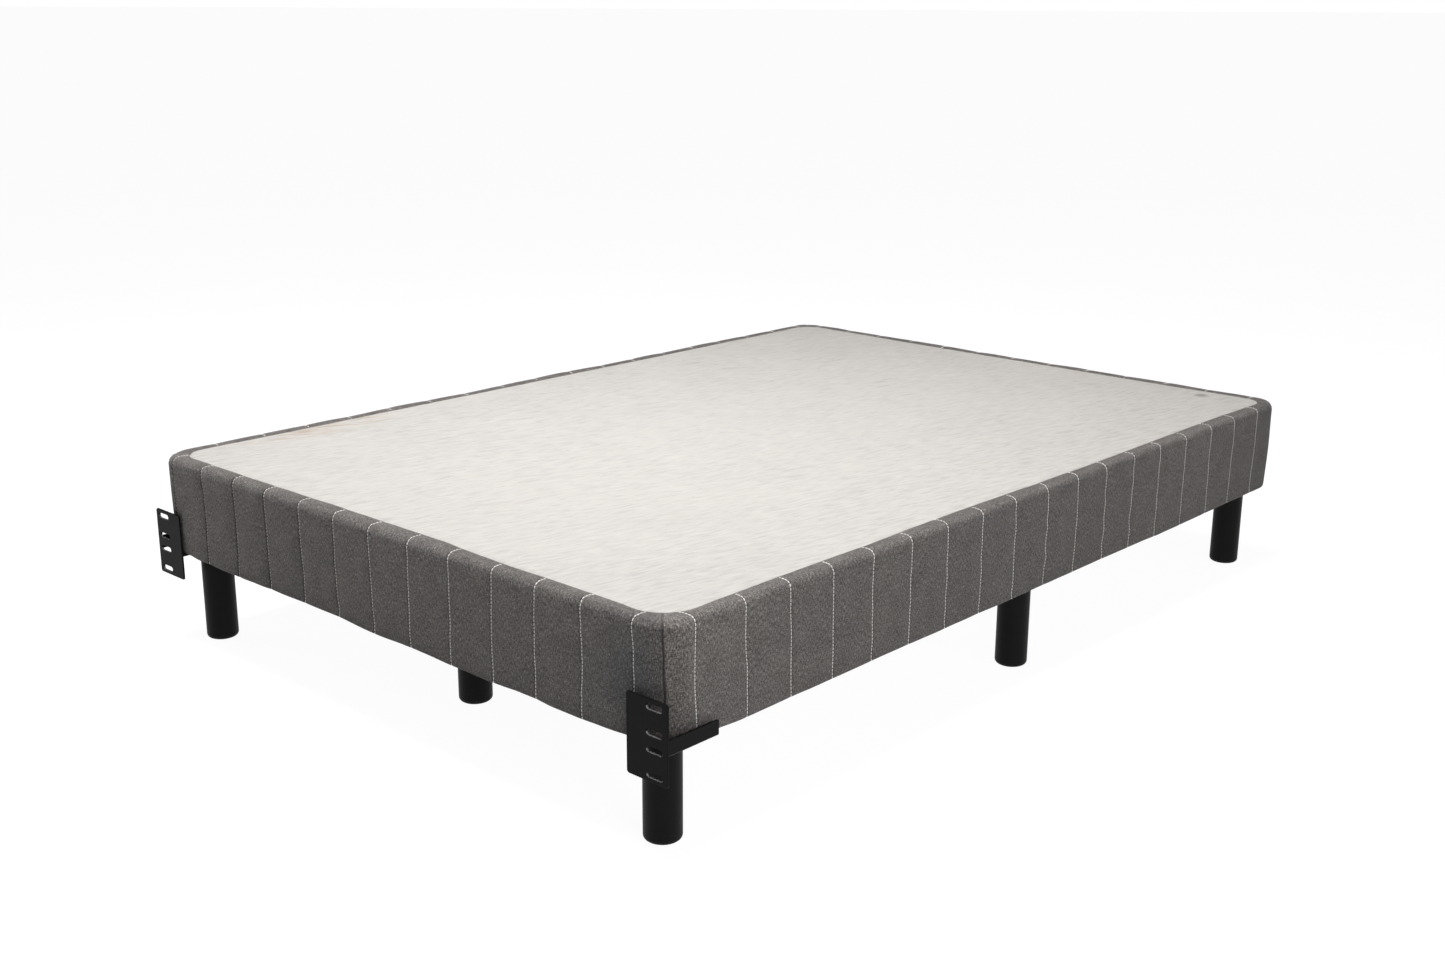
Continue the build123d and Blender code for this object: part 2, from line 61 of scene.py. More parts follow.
class Shader:
    """A Principled material built from a few short node calls."""

    def __init__(self, name, specular=0.5, **settings):
        self.material = bpy.data.materials.new(name)
        self.material.use_nodes = True
        self.tree = self.material.node_tree
        self.tree.nodes.clear()
        out = self.tree.nodes.new("ShaderNodeOutputMaterial")
        self.bsdf = self.tree.nodes.new("ShaderNodeBsdfPrincipled")
        self.tree.links.new(self.bsdf.outputs[0], out.inputs[0])
        settings["Specular_IOR_Level"] = specular
        for socket, value in settings.items():
            self.bsdf.inputs[socket.replace("_", " ")].default_value = value

    def put(self, socket, value):
        if isinstance(value, bpy.types.NodeSocket):
            self.tree.links.new(value, socket)
        elif isinstance(value, (tuple, list)) and len(value) == 3 and socket.type == "RGBA":
            socket.default_value = (*value, 1.0)
        else:
            socket.default_value = value

    def node(self, kind, output, inputs, **props):
        n = self.tree.nodes.new(kind)
        for key, value in props.items():
            setattr(n, key, value)
        for key, value in inputs.items():
            self.put(n.inputs[key], value)
        return n.outputs[output]

    def coords(self):
        return self.node("ShaderNodeTexCoord", "Object", {})

    def uv(self, name):
        return self.node("ShaderNodeUVMap", "UV", {}, uv_map=name)

    def math(self, operation, a, b=0.0, c=0.0):
        return self.node("ShaderNodeMath", 0, {0: a, 1: b, 2: c}, operation=operation)

    def sub(self, a, b):
        return self.math("SUBTRACT", a, b)

    def mul(self, a, b):
        return self.math("MULTIPLY", a, b)

    def size(self, value):  # without its sign
        return self.math("ABSOLUTE", value)

    def mul_add(self, a, b, c):
        return self.math("MULTIPLY_ADD", a, b, c)

    def scaled(self, vector, scale):
        return self.node("ShaderNodeVectorMath", 0, {0: vector, 1: scale}, operation="MULTIPLY")

    def turned(self, vector, degrees):
        inputs = {"Vector": vector, "Angle": math.radians(degrees)}
        return self.node("ShaderNodeVectorRotate", 0, inputs, rotation_type="Z_AXIS")

    def parts(self, vector):
        n = self.tree.nodes.new("ShaderNodeSeparateXYZ")
        self.put(n.inputs[0], vector)
        return n.outputs

    def noise(self, vector, scale, detail=2.0, rough=0.5, distortion=0.0):
        inputs = {"Vector": vector, "Scale": scale, "Detail": detail, "Roughness": rough}
        inputs["Distortion"] = distortion
        return self.node("ShaderNodeTexNoise", 0, inputs)

    def span(self, value, low, high, out_low=0.0, out_high=1.0):
        inputs = {"Value": value, "From Min": low, "From Max": high, "To Min": out_low, "To Max": out_high}
        return self.node("ShaderNodeMapRange", 0, inputs)

    def mix(self, factor, a, b, blend="MIX"):
        inputs = {"Factor": factor, 6: a, 7: b}
        return self.node("ShaderNodeMix", 2, inputs, data_type="RGBA", blend_type=blend)

    def ramp(self, factor, stops):
        n = self.tree.nodes.new("ShaderNodeValToRGB")
        while len(n.color_ramp.elements) < len(stops):
            n.color_ramp.elements.new(0.5)
        for element, (place, colour) in zip(n.color_ramp.elements, stops):
            element.position = place
            element.color = (*colour, 1.0)
        self.put(n.inputs[0], factor)
        return n.outputs[0]

    def done(self, colour, rough, height=None, distance=0.0, strength=1.0):
        """The finished material: its colour, its roughness, and the bump of a height field."""
        self.put(self.bsdf.inputs["Base Color"], colour)
        self.put(self.bsdf.inputs["Roughness"], rough)
        if height:
            inputs = {"Height": height, "Distance": distance, "Strength": strength}
            self.put(self.bsdf.inputs["Normal"], self.node("ShaderNodeBump", 0, inputs))
        return self.material


def border_material():
    """Heathered warm grey cloth: a fine plain weave in which every yarn float has its own tone."""
    s = Shader("border_weave", specular=0.2, Sheen_Weight=0.22, Sheen_Roughness=0.42)
    s.bsdf.inputs["Sheen Tint"].default_value = (0.80, 0.78, 0.76, 1.0)
    uv = s.uv("cloth")
    shade, cool, _ = s.parts(s.uv("marks"))
    yarns = 1000.0  # to the metre, both ways
    u, v, _ = s.parts(s.scaled(uv, (yarns, yarns, 1.0)))
    warp = s.size(s.math("SINE", s.mul(u, math.pi)))
    weft = s.size(s.math("SINE", s.mul(v, math.pi)))
    over = s.size(s.math("MODULO", s.math("ADD", s.math("FLOOR", u), s.math("FLOOR", v)), 2.0))
    under = s.sub(1.0, over)
    height = s.math("ADD", s.mul(warp, over), s.mul(weft, under))
    up_yarn = s.noise(s.scaled(uv, (1.0, 0.26, 1.0)), 640.0, 1.0, 0.5)
    cross_yarn = s.noise(s.scaled(uv, (0.28, 1.0, 1.0)), 620.0, 1.0, 0.5)
    fleck = s.noise(uv, 480.0, 1.0, 0.5)
    heather = s.noise(s.scaled(uv, (1.0, 0.6, 1.0)), 320.0, 2.0, 0.6)
    cloud = s.noise(uv, 30.0, 3.0, 0.6)
    tone = s.mul_add(up_yarn, 0.86, s.mul(cross_yarn, 0.54))
    tone = s.mul_add(fleck, 0.42, tone)
    tone = s.mul_add(heather, 0.42, tone)
    tone = s.mul_add(cloud, 0.24, tone)
    tone = s.mul_add(height, 0.10, tone)
    tone = s.span(tone, 0.98, 1.66)
    colour = s.ramp(tone, [
        (0.0, (0.0226, 0.0194, 0.0178)), (0.35, (0.078, 0.0706, 0.0655)),
        (0.62, (0.147, 0.1333, 0.1254)), (1.0, (0.345, 0.320, 0.303))])
    # Painted shade and light from the "marks" layer: a cooler cast, then darkening at the lines, seams and
    # hem, and along the sides.
    colour = s.mix(cool, colour, (0.55, 0.60, 0.68), "MULTIPLY")
    colour = s.mix(shade, colour, (0.16, 0.15, 0.16), "MULTIPLY")
    return s.done(colour, s.span(fleck, 0.3, 0.7, 0.95, 0.84), s.mul_add(up_yarn, 0.9, height), 0.0004, 0.8)


def thread_material():
    """Off-white sewing thread: two plies twisted along the stitch."""
    s = Shader("stitch_thread", Sheen_Weight=0.2, specular=0.3)
    p = s.coords()
    twist = s.noise(s.scaled(p, (1.0, 1.0, 0.35)), 1900.0, 2.0, 0.6)
    shade = s.noise(p, 60.0, 2.0)
    colour = s.ramp(s.mul_add(twist, 0.6, s.mul(shade, 0.4)), [
        (0.25, (0.47, 0.452, 0.43)), (0.5, (0.62, 0.604, 0.577)), (0.75, (0.71, 0.694, 0.67))])
    return s.done(colour, 0.75, twist, 0.0002, 0.6)


def spot(s, x, y, cx, cy, half_x, half_y):
    """One inside an ellipse in plan, falling smoothly to nought at its edge."""
    dx = s.math("DIVIDE", s.sub(x, cx), half_x)
    dy = s.math("DIVIDE", s.sub(y, cy), half_y)
    return s.span(s.math("ADD", s.mul(dx, dx), s.mul(dy, dy)), 0.0, 1.0, 1.0, 0.0)


def stain_mask(s, p):
    """Faint streaks near the left edge, towards the head end."""
    x, y, _ = s.parts(p)
    area = spot(s, x, y, -0.622, -0.63, 0.060, 0.19)
    streaks = s.noise(s.scaled(s.turned(p, 30), (1.0, 0.18, 1.0)), 60.0, 2.0, 0.6, 0.5)
    return s.mul(s.mul(area, s.span(streaks, 0.46, 0.62)), 0.9)


def dot_mask(s, p):
    """A small worn dot near the foot end."""
    x, y, _ = s.parts(p)
    return spot(s, x, y, 0.524, 0.879, 0.018, 0.018)


def top_material():
    """Off-white needled nonwoven, matt, with fine fibres and faint lengthwise creases."""
    s = Shader("top_nonwoven", Sheen_Weight=0.1, Sheen_Roughness=0.5, specular=0.2)
    p = s.coords()
    fibre = s.noise(s.scaled(p, (1.0, 0.3, 1.0)), 900.0, 3.0, 0.7, 0.6)
    askew = s.turned(p, 12)
    dash = s.noise(s.scaled(askew, (1.0, 0.17, 1.0)), 155.0, 2.0, 0.6, 0.35)
    lone = s.noise(s.scaled(askew, (1.0, 0.13, 1.0)), 75.0, 1.0, 0.5, 0.3)
    cloud = s.noise(p, 5.0, 2.0, 0.5)
    tone = s.mul_add(dash, 0.62, s.mul(fibre, 0.26))
    tone = s.mul_add(cloud, 0.12, tone)
    colour = s.ramp(tone, [
        (0.34, (0.262, 0.250, 0.236)), (0.5, (0.309, 0.296, 0.280)), (0.66, (0.340, 0.325, 0.308))])
    colour = s.mix(s.span(lone, 0.66, 0.76, 0.0, 0.55), colour, (0.84, 0.83, 0.82), "MULTIPLY")
    colour = s.mix(stain_mask(s, p), colour, (0.80, 0.66, 0.52), "MULTIPLY")
    colour = s.mix(dot_mask(s, p), colour, (0.50, 0.48, 0.48), "MULTIPLY")
    return s.done(colour, 0.95, s.mul_add(dash, 1.2, s.mul(fibre, 0.35)), 0.0007, 0.8)


def dust_material():
    """Black spunbond: soft random fibres pressed by a grid of small points."""
    s = Shader("dust_spunbond", Sheen_Weight=0.15, specular=0.3)
    p = s.coords()
    fibre = s.noise(s.scaled(p, (1.0, 0.45, 1.0)), 1400.0, 3.0, 0.7, 1.2)
    points = s.node("ShaderNodeTexVoronoi", 0, {"Vector": p, "Scale": 420.0})
    cloud = s.noise(p, 9.0, 3.0, 0.6)
    tone = s.mul_add(fibre, 0.6, s.mul(cloud, 0.4))
    colour = s.ramp(tone, [
        (0.3, (0.012, 0.012, 0.013)), (0.55, (0.026, 0.026, 0.028)), (0.8, (0.055, 0.055, 0.058))])
    return s.done(colour, 0.85, s.mul_add(points, 0.8, fibre), 0.0003, 0.7)


def black_plastic():
    """Black moulded plastic with a satin grain, scuffed near the floor."""
    s = Shader("leg_moulded", IOR=1.49, specular=0.09)
    p = s.coords()
    grain = s.noise(p, 1500.0, 2.0, 0.55)
    broad = s.noise(p, 26.0, 3.0, 0.6)
    _, _, z = s.parts(p)
    scuff = s.mul(s.span(z, 0.0, 0.03, 1.0, 0.0), s.span(s.noise(p, 240.0, 4.0, 0.7), 0.5, 0.72))
    black = s.ramp(broad, [(0.3, (0.0030, 0.0028, 0.0027)), (0.7, (0.0046, 0.0043, 0.0041))])
    colour = s.mix(s.mul(scuff, 0.4), black, (0.03, 0.028, 0.026))
    return s.done(colour, s.mul_add(broad, 0.14, s.mul_add(scuff, 0.2, 0.40)), grain, 0.00009, 0.5)


def powder_coat(name, slots=()):
    """Satin black powder coat; along the lower edge of each slot, a painted highlight drawn as coat worn thin
    to the steel.
    """
    s = Shader(name, IOR=1.5, specular=0.055)
    p = s.coords()
    peel = s.noise(p, 620.0, 2.0, 0.5)
    fine = s.noise(p, 2600.0, 2.0, 0.6)
    broad = s.noise(p, 34.0, 3.0, 0.6)
    colour = s.ramp(broad, [(0.3, (0.0040, 0.0038, 0.0038)), (0.7, (0.0060, 0.0057, 0.0057))])
    if slots:
        x, _, z = s.parts(p)
        across = s.size(s.sub(s.size(x), SLOT_X))
        along = s.math("MAXIMUM", s.sub(across, SLOT_HALF - SLOT_R), 0.0)
        rise, highlight_band = 1.0, 0.0
        for height in slots:
            offset = s.sub(z, height)
            rise = s.math("MINIMUM", rise, s.size(offset))
            lit_lower_edge = s.mul(s.span(offset, 0.0, -2 * MM), s.span(offset, -9 * MM, -7 * MM))
            highlight_band = s.math("MAXIMUM", highlight_band, lit_lower_edge)
        reach = s.math("SQRT", s.math("ADD", s.mul(along, along), s.mul(rise, rise)))
        # Painted highlight: the lower edge of each slot, where light catches, drawn lighter as if worn to
        # steel.
        worn = s.mul(s.span(reach, SLOT_R + 0.15 * MM, SLOT_R + 0.7 * MM, 0.9, 0.0), highlight_band)
        patchy = s.span(s.noise(p, 300.0, 2.0, 0.6), 0.30, 0.60, 0.35, 1.0)
        colour = s.mix(s.mul(worn, patchy), colour, (0.30, 0.29, 0.28))
    return s.done(colour, s.mul_add(broad, 0.16, 0.36), s.mul_add(fine, 0.35, peel), 0.00012, 0.55)


def zinc(name, pitch=0.0):
    """Zinc plate; with a pitch, the bump of a rolled thread round an upright shank."""
    s = Shader(name, Metallic=1.0)
    p = s.coords()
    spangle = s.noise(p, 420.0, 3.0, 0.6)
    cloud = s.noise(p, 60.0, 2.0)
    colour = s.ramp(spangle, [
        (0.3, (0.42, 0.42, 0.41)), (0.55, (0.60, 0.60, 0.585)), (0.8, (0.70, 0.70, 0.68))])
    bump = (spangle, 0.00006, 0.5)
    if pitch:
        _, _, z = s.parts(p)
        bump = (s.mul(s.math("PINGPONG", z, pitch / 2), 2.0 / pitch), 0.0007, 1.0)
    return s.done(colour, s.mul_add(cloud, 0.22, 0.28), *bump)


def timber(name, along):
    """Planed softwood with its grain along one axis."""
    s = Shader(name, specular=0.35)
    p = s.coords()
    squash = {"X": (0.07, 1.0, 1.0), "Y": (1.0, 0.07, 1.0), "Z": (1.0, 1.0, 0.07)}[along]
    ring = s.noise(s.scaled(p, squash), 24.0, 3.0, 0.55, 1.4)
    band = s.math("PINGPONG", s.mul(ring, 9.0), 1.0)
    pore = s.noise(s.scaled(p, squash), 620.0, 2.0, 0.6)
    colour = s.ramp(s.mul_add(pore, 0.35, s.mul(band, 0.65)), [
        (0.1, (0.40, 0.25, 0.13)), (0.45, (0.60, 0.43, 0.26)), (0.9, (0.74, 0.58, 0.39))])
    return s.done(colour, s.span(pore, 0.3, 0.7, 0.55, 0.75), s.mul_add(band, 0.4, pore), 0.0003, 0.6)


def fibreboard():
    s = Shader("deck_fibreboard", specular=0.3)
    p = s.coords()
    fibre = s.noise(p, 520.0, 4.0, 0.75, 1.0)
    cloud = s.noise(p, 16.0, 2.0)
    colour = s.ramp(s.mul_add(fibre, 0.75, s.mul(cloud, 0.25)), [
        (0.3, (0.20, 0.125, 0.065)), (0.5, (0.36, 0.245, 0.14)), (0.75, (0.50, 0.37, 0.23))])
    return s.done(colour, 0.8, fibre, 0.0003, 0.6)


def felt_material():
    s = Shader("felt_fibres", Sheen_Weight=0.3, specular=0.2)
    p = s.coords()
    fibre = s.noise(p, 380.0, 4.0, 0.8, 2.0)
    fleck = s.noise(p, 150.0, 3.0, 0.7)
    colour = s.ramp(fibre, [(0.3, (0.20, 0.19, 0.18)), (0.5, (0.42, 0.41, 0.39)), (0.7, (0.62, 0.60, 0.57))])
    colour = s.mix(s.span(fleck, 0.6, 0.68), colour, (0.16, 0.22, 0.34))
    return s.done(colour, 0.95, fibre, 0.0012, 0.8)


def rubber():
    s = Shader("glide_rubber", specular=0.35)
    p = s.coords()
    grain = s.noise(p, 900.0, 3.0, 0.6)
    colour = s.ramp(grain, [(0.3, (0.012, 0.012, 0.012)), (0.7, (0.028, 0.027, 0.026))])
    return s.done(colour, 0.8, grain, 0.0002, 0.6)


# --- Mesh helpers ---


def make_object(name, vertices, faces, material):
    mesh = bpy.data.meshes.new(name)
    mesh.from_pydata([tuple(p) for p in vertices], [], faces)
    mesh.update()
    mesh.polygons.foreach_set("use_smooth", [True] * len(faces))
    mesh.materials.append(material)
    obj = bpy.data.objects.new(name, mesh)
    bpy.context.scene.collection.objects.link(obj)
    return obj


def closed_sheet(name, first, second, faces, material):
    """A sheet from its two surfaces, with the faces of the first, and walls round its edges."""
    n = len(first)
    sides = [side for face in faces for side in zip(face, face[1:] + face[:1])]
    shared = set(sides)
    walls = [(q, p, n + p, n + q) for p, q in sides if (q, p) not in shared]
    backs = [tuple(n + i for i in reversed(face)) for face in faces]
    return make_object(name, np.concatenate([first, second]), faces + backs + walls, material)


def tube_faces(base, rings, sides):
    """Faces of a closed tube whose rings of vertices start at base."""
    faces = []
    for r in range(rings - 1):
        for k in range(sides):
            k2 = (k + 1) % sides
            p, q = base + r * sides, base + (r + 1) * sides
            faces.append((p + k, p + k2, q + k2, q + k))
    faces.append(tuple(base + k for k in reversed(range(sides))))
    faces.append(tuple(base + (rings - 1) * sides + k for k in range(sides)))
    return faces


def waves(x, y, seed, count, length, spread=0.5):
    """A smooth random field of about unit height, made of plane waves."""
    rng = np.random.default_rng(seed)
    total = np.zeros(np.broadcast(x, y).shape)
    for _ in range(count):
        angle = rng.uniform(0, 2 * math.pi)
        k = 2 * math.pi / (length * rng.uniform(1 - spread, 1 + spread))
        phase = rng.uniform(0, 2 * math.pi)
        total += np.cos(k * (x * math.cos(angle) + y * math.sin(angle)) + phase)
    return total * math.sqrt(2.0 / count)


def smoothstep(x):
    x = np.clip(x, 0.0, 1.0)
    return x * x * (3 - 2 * x)


# --- Border cloth ---
CORNER_R = 50 * MM  # upright corners
RIM = 25 * MM  # least width of the grey rim between the edge and the top cloth
TOP_CORNER_R = {(1, -1): 68 * MM, (1, 1): 43 * MM, (-1, -1): 52 * MM, (-1, 1): 50 * MM}  # by signs of x and y
UNDER = 36 * MM  # cloth turned under the base
UNDER_CORNER_R = 34 * MM
ZONE = 112 * MM  # where the inner outlines leave the outer one, from each corner
EDGE_IN, EDGE_DOWN = 9 * MM, 15 * MM  # rounded top edge, an ellipse: its reach in plan and in height
HEM_R = 3 * MM  # rounded bottom edge, along the sides
HEM_HEAD_R, HEM_FOOT_R = 5 * MM, 7 * MM  # the same, in the corners of the head end and of the foot end
TAPER = 3 * MM  # how far the foot of each corner is pulled in
BRACKET_X, BRACKET_Y = 0.585, -0.845  # inner edges in plan of the stretch that a bracket takes up

# Outward normal, direction of travel, distance to the side, half length of the side.
SIDES = {
    "right": ((1, 0), (0, 1), HALF_W, HALF_L),
    "foot": ((0, 1), (-1, 0), HALF_L, HALF_W),
    "left": ((-1, 0), (0, -1), HALF_W, HALF_L),
    "head": ((0, -1), (1, 0), HALF_L, HALF_W),
}
# Where the stitched lines stand along each side, in mm along the direction of travel.
STRIPES = {
    "right": [-894, -784, -684, -583, -486, -386, -284, -182, -79,
        23, 124, 226, 326, 426, 532, 636, 742, 845],
    "head": [-627, -524, -419, -317, -212, -112, -10, 92, 196, 298, 398, 502, 608],
    "foot": [-612, -509, -408, -305, -204, -101, 2, 103, 206, 307, 410, 512, 613],
    "left": [-893, -790, -689, -586, -485, -383, -280, -179, -77,
        26, 127, 230, 331, 433, 535, 638, 739, 842],
}
# How far each stitched line strays along its side, in half mm, at six heights in mm above the underside.
WANDER_HEIGHTS = [16, 46, 76, 106, 136, 164]
WANDER = {
    "right": [
        [7, 5, 1, 1, 2, 4], [2, 1, 3, -2, -4, -5], [3, 2, 2, 1, -3, -3], [-1, 1, -1, -1, -3, -6],
        [1, 3, 1, 0, -1, 3], [-3, -1, 2, 1, 3, 3], [-4, -4, -1, -3, -3, -1], [-4, -1, -1, -2, 0, 0],
        [-9, -1, -2, 1, 4, -3], [-9, 1, -4, 1, 1, -5], [-8, -2, 0, 1, 2, -1], [-5, -3, -3, -3, -1, 0],
        [-4, -4, -3, 1, 0, 2], [-3, -1, 0, 4, 7, 10], [-5, -2, -3, -1, 0, 3], [7, 3, 4, 2, 4, 7],
        [-7, -3, -3, -2, 3, 0], [-9, -6, 0, 4, 4, 7],
    ],
    "head": [
        [0, 0, 0, 0, 0, 0], [-2, -2, 2, 0, -3, -9], [-3, 0, 1, 2, -2, -3], [2, 1, 0, -1, 0, -4],
        [0, 2, 0, -4, -2, -3], [5, -1, -2, -2, 1, -1], [5, 1, 2, 0, -4, -7], [-6, -4, -1, -2, 0, 2],
        [-5, -5, 0, -1, 1, -1], [2, -1, -1, 0, 1, 2], [-1, 1, -2, 0, 0, 4], [-5, -4, 1, 0, -3, -3],
        [3, 3, 2, 1, 1, -5],
    ],
}
# How far the seam of the near right corner sits towards the head end: (height, shift), both in mm.
SEAM_PULL = [(0, 3.4), (60, 2.2), (110, 2.6), (165, 4.6)]
# How far the hem sags below the underside: (coordinate along the side, sag), both in mm.
SAG = {
    "right": [(-840, 0), (-800, 2.6), (-700, 2.2), (-580, 2.8), (-460, 1.8), (-400, 1.1), (-340, 1.5),
        (-280, 2.3), (200, 2.5), (380, 2.8), (440, 4.5), (500, 4.6), (560, 3.7), (620, 3.2),
        (860, 1.8)],
    "head": [(-590, 0), (-560, 3.0), (-420, 3.3), (-380, 1.8), (-100, 1.5), (-60, 3.3), (-10, 5.0),
        (60, 3.3), (140, 3.3), (180, 5.2), (300, 4.8), (350, 2.2), (400, 2.4), (430, 4.3), (500, 4.3),
        (545, 2.6), (590, 0)],
    "foot": [(-600, 1.5), (-300, 3.2), (-120, 2.0), (90, 3.8), (330, 2.2), (600, 1.5)],
    "left": [(-860, 1.5), (-610, 3.2), (-330, 2.0), (-60, 3.6), (220, 2.2), (540, 3.4), (800, 2.4), (840, 0)],
}
# How much wider than RIM the rim is along each side: (coordinate in m, mm), by the sign of x or of y.
RIM_EXTRA_X = {
    1: [(-0.90, 0.3), (-0.86, 1), (-0.78, 4), (-0.70, 5.5), (-0.54, 5), (-0.46, 3.5), (-0.38, 6),
        (-0.22, 7), (-0.06, 5), (0.02, 1.5), (0.10, 2.5), (0.18, 1), (0.34, 2.5), (0.50, 4), (0.66, 5),
        (0.74, 5), (0.82, 2.5), (0.90, 0.3)],
    -1: [(-0.88, 0), (-0.70, 3), (-0.45, 2), (-0.20, 5), (0.10, 3), (0.35, 5), (0.60, 2), (0.78, 3),
        (0.88, 0)],
}
RIM_EXTRA_Y = {
    -1: [(-0.62, 0.5), (-0.56, 2), (-0.40, 1.5), (-0.32, 4), (-0.24, 3.5), (-0.16, 7), (-0.08, 7.5),
        (0.08, 9.5), (0.16, 8.5), (0.24, 5.5), (0.32, 3.5), (0.40, 5), (0.48, 3.5), (0.56, 3), (0.62, 0.5)],
    1: [(-0.60, 0), (-0.40, 3), (-0.15, 5), (0.10, 3), (0.35, 4), (0.60, 0)],
}
# Loose diagonal folds at the middle of the right side: place along it and height, tilt in radians,
# half length and half width, and how many mm it stands out.
FOLDS = [
    (0.14, 0.12, 0.38, 0.085, 0.010, 1.0), (0.19, 0.055, 0.62, 0.055, 0.009, -0.9),
    (0.06, 0.145, 0.30, 0.070, 0.009, -0.7), (0.29, 0.10, 0.45, 0.060, 0.010, 0.7),
    (0.235, 0.155, 0.22, 0.060, 0.008, 0.7), (0.02, 0.07, 0.75, 0.045, 0.008, 0.6),
]
# Painted light and shade along a side: (coordinate along the side, darker by). Below nought is lighter.
PAINTED_LIGHT_AND_SHADE = {
    "right": [(-0.97, -0.32), (-0.90, -0.26), (-0.75, -0.10), (-0.62, -0.02), (-0.5, 0.0), (-0.3, 0.03),
        (0.0, 0.08), (0.2, 0.08), (0.42, -0.02), (0.6, -0.10), (0.72, 0.02), (0.95, 0.06)],
    "head": [(-0.70, -0.22), (-0.55, -0.22), (-0.50, -0.06), (-0.42, 0.0), (0.70, 0.0)],
}
NEUTRAL = 0.27  # the "marks" shade that leaves the cloth at its mean tone
HEM_SHADE = {"head": 0.42, "right": 0.24, "left": 0.3, "foot": 0.3}
# Soft patches of painted shade with a cooler cast, mostly near the corners: place along the side and height,
# their half sizes, strength.
COOL_SHADE_PATCHES = {
    "head": [(0.605, 0.105, 0.050, 0.075, 0.95), (0.52, 0.09, 0.05, 0.05, 0.25),
        (0.40, 0.05, 0.10, 0.05, 0.18)],
    "right": [(0.90, 0.10, 0.05, 0.10, 0.30)],
}


# Rows of the cloth, from under the base round the hem, up the face, over the edge and across the rim
# to where it tucks under the top cloth: places from 0 to 1 along each stretch.
STRETCHES = {
    "under": (0.0, 0.03, 0.2, 0.45, 0.7, 0.9),
    "hem": np.linspace(0, 1, 7),
    "face": np.linspace(0, 1, 22)[1:-1],
    "edge": np.linspace(0, 1, 12),
    "rim": (0.2, 0.4, 0.6, 0.78, 0.9, 1.0),
    "tuck": (0.35, 1.0),
}
ROWS = [(kind, q) for kind, places in STRETCHES.items() for q in places]
KINDS = np.array([kind for kind, _ in ROWS])


def by_row(**stretches):
    """A value for every row, from its (start, change) over each kind of stretch."""
    return np.array([stretches[kind][0] + stretches[kind][1] * q for kind, q in ROWS])


# Length of cloth up to each row, its share of the padding and of the corner seams, its thickness.
ROW_LEN = by_row(
    under=(-20, 30), hem=(10, 5), face=(15, 167), edge=(182, 19), rim=(201, 16), tuck=(217, 8)) * MM
FACE_WEIGHT = by_row(
    under=(0, 0), hem=(0, 0.6), face=(1, 0), edge=(1, -0.45), rim=(0.55, -0.35), tuck=(0, 0))
SEAM_WEIGHT = np.minimum(1.0, by_row(
    under=(0.15, 0), hem=(0.2, 0), face=(0.2, 6), edge=(1, -0.5), rim=(0.5, -0.2), tuck=(0.2, 0)))
THICKNESS = by_row(
    under=(1.2, 0), hem=(1.2, 2.8), face=(4.2, 0), edge=(4.2, -1.2), rim=(3.0, -1.4), tuck=(1.6, 0)) * MM
HEIGHT = ROW_LEN - 12 * MM  # of each row above the underside, measured along the cloth


def bell(x, width):
    return np.exp(-(x / width) ** 2)


def rim_extra(tables, along, across):
    """How much wider the rim is at coordinates along the two sides that lie either way across."""
    low, high = [np.interp(along, *np.array(tables[sign]).T) for sign in (-1, 1)]
    return np.where(across > 0, high, low)


def settle_rim(x, y):
    """Move plan points near the top cloth's edge inwards, as the rim's width changes along it."""
    near_x = smoothstep((np.abs(x) - (HALF_W - 0.20)) / 0.17)
    near_y = smoothstep((np.abs(y) - (HALF_L - 0.20)) / 0.17)
    extra_x, extra_y = rim_extra(RIM_EXTRA_X, y, x), rim_extra(RIM_EXTRA_Y, x, y)
    return x - np.sign(x) * extra_x * MM * near_x, y - np.sign(y) * extra_y * MM * near_y


def outline(side, a, inset, radius):
    """Points of one side's outline at arc lengths a from its middle, up to the middle of each corner."""
    (nx, ny), (tx, ty), reach, half = SIDES[side]
    straight = half - inset - radius
    turn = np.maximum(np.abs(a) - straight, 0.0) / radius
    along = (np.minimum(np.abs(a), straight) + radius * np.sin(turn)) * np.sign(a)
    out = reach - inset - radius * (1 - np.cos(turn))
    return np.stack([nx * out + tx * along, ny * out + ty * along], axis=-1)


def inner_outline(side, a, inset, radius):
    """The inset outline's point that belongs to the outer outline's point at a."""
    half = SIDES[side][3]
    start = half - ZONE
    outer_rest = (half - CORNER_R - start) + CORNER_R * math.pi / 4
    inner_rest = (half - inset - radius - start) + radius * math.pi / 4
    q = np.maximum(np.abs(a) - start, 0.0) / outer_rest
    inner = np.minimum(np.abs(a), start) + q * inner_rest
    return outline(side, inner * np.sign(a), inset, radius)


def top_radius(side, a):
    """Radius of the top cloth's corner that each point at a belongs to."""
    (nx, ny), (tx, ty), _, _ = SIDES[side]
    return np.where(a > 0, TOP_CORNER_R[(nx + tx, ny + ty)], TOP_CORNER_R[(nx - tx, ny - ty)])


def side_length(side):
    return SIDES[side][3] - CORNER_R + CORNER_R * math.pi / 4


def stations(side):
    """Arc lengths along a side: close together at the stitched stripes and at the corner seams."""
    end = side_length(side)
    marks = [s * MM for s in STRIPES[side]]
    limits = [-end] + marks + [end]
    spots = {round(mark, 6) for mark in marks}
    spots.update(round((start + stop) / 2, 6) for start, stop in zip(limits, limits[1:]))
    near_line = (1.0, 2.0, 3.2, 5, 8, 13, 20, 29, 40, 51)
    near_seam = (0.7, 1.5, 2.5, 4, 6, 9, 12.5, 16, 20, 25, 31, 38, 46)
    bands = [(mark, 1, stop - mark, near_line) for mark, stop in zip(marks, limits[2:])]
    bands += [(mark, -1, mark - stop, near_line) for mark, stop in zip(marks, limits)]
    bands += [(-end, 1, end + marks[0], near_seam), (end, -1, end - marks[-1], near_seam)]
    for place, way, room, offsets in bands:
        spots.update(round(place + way * x * MM, 6) for x in offsets if x * MM < room / 2 - 1.5 * MM)
    spots.add(-end)  # a seam belongs to the side that starts there
    return np.array(sorted(spots))


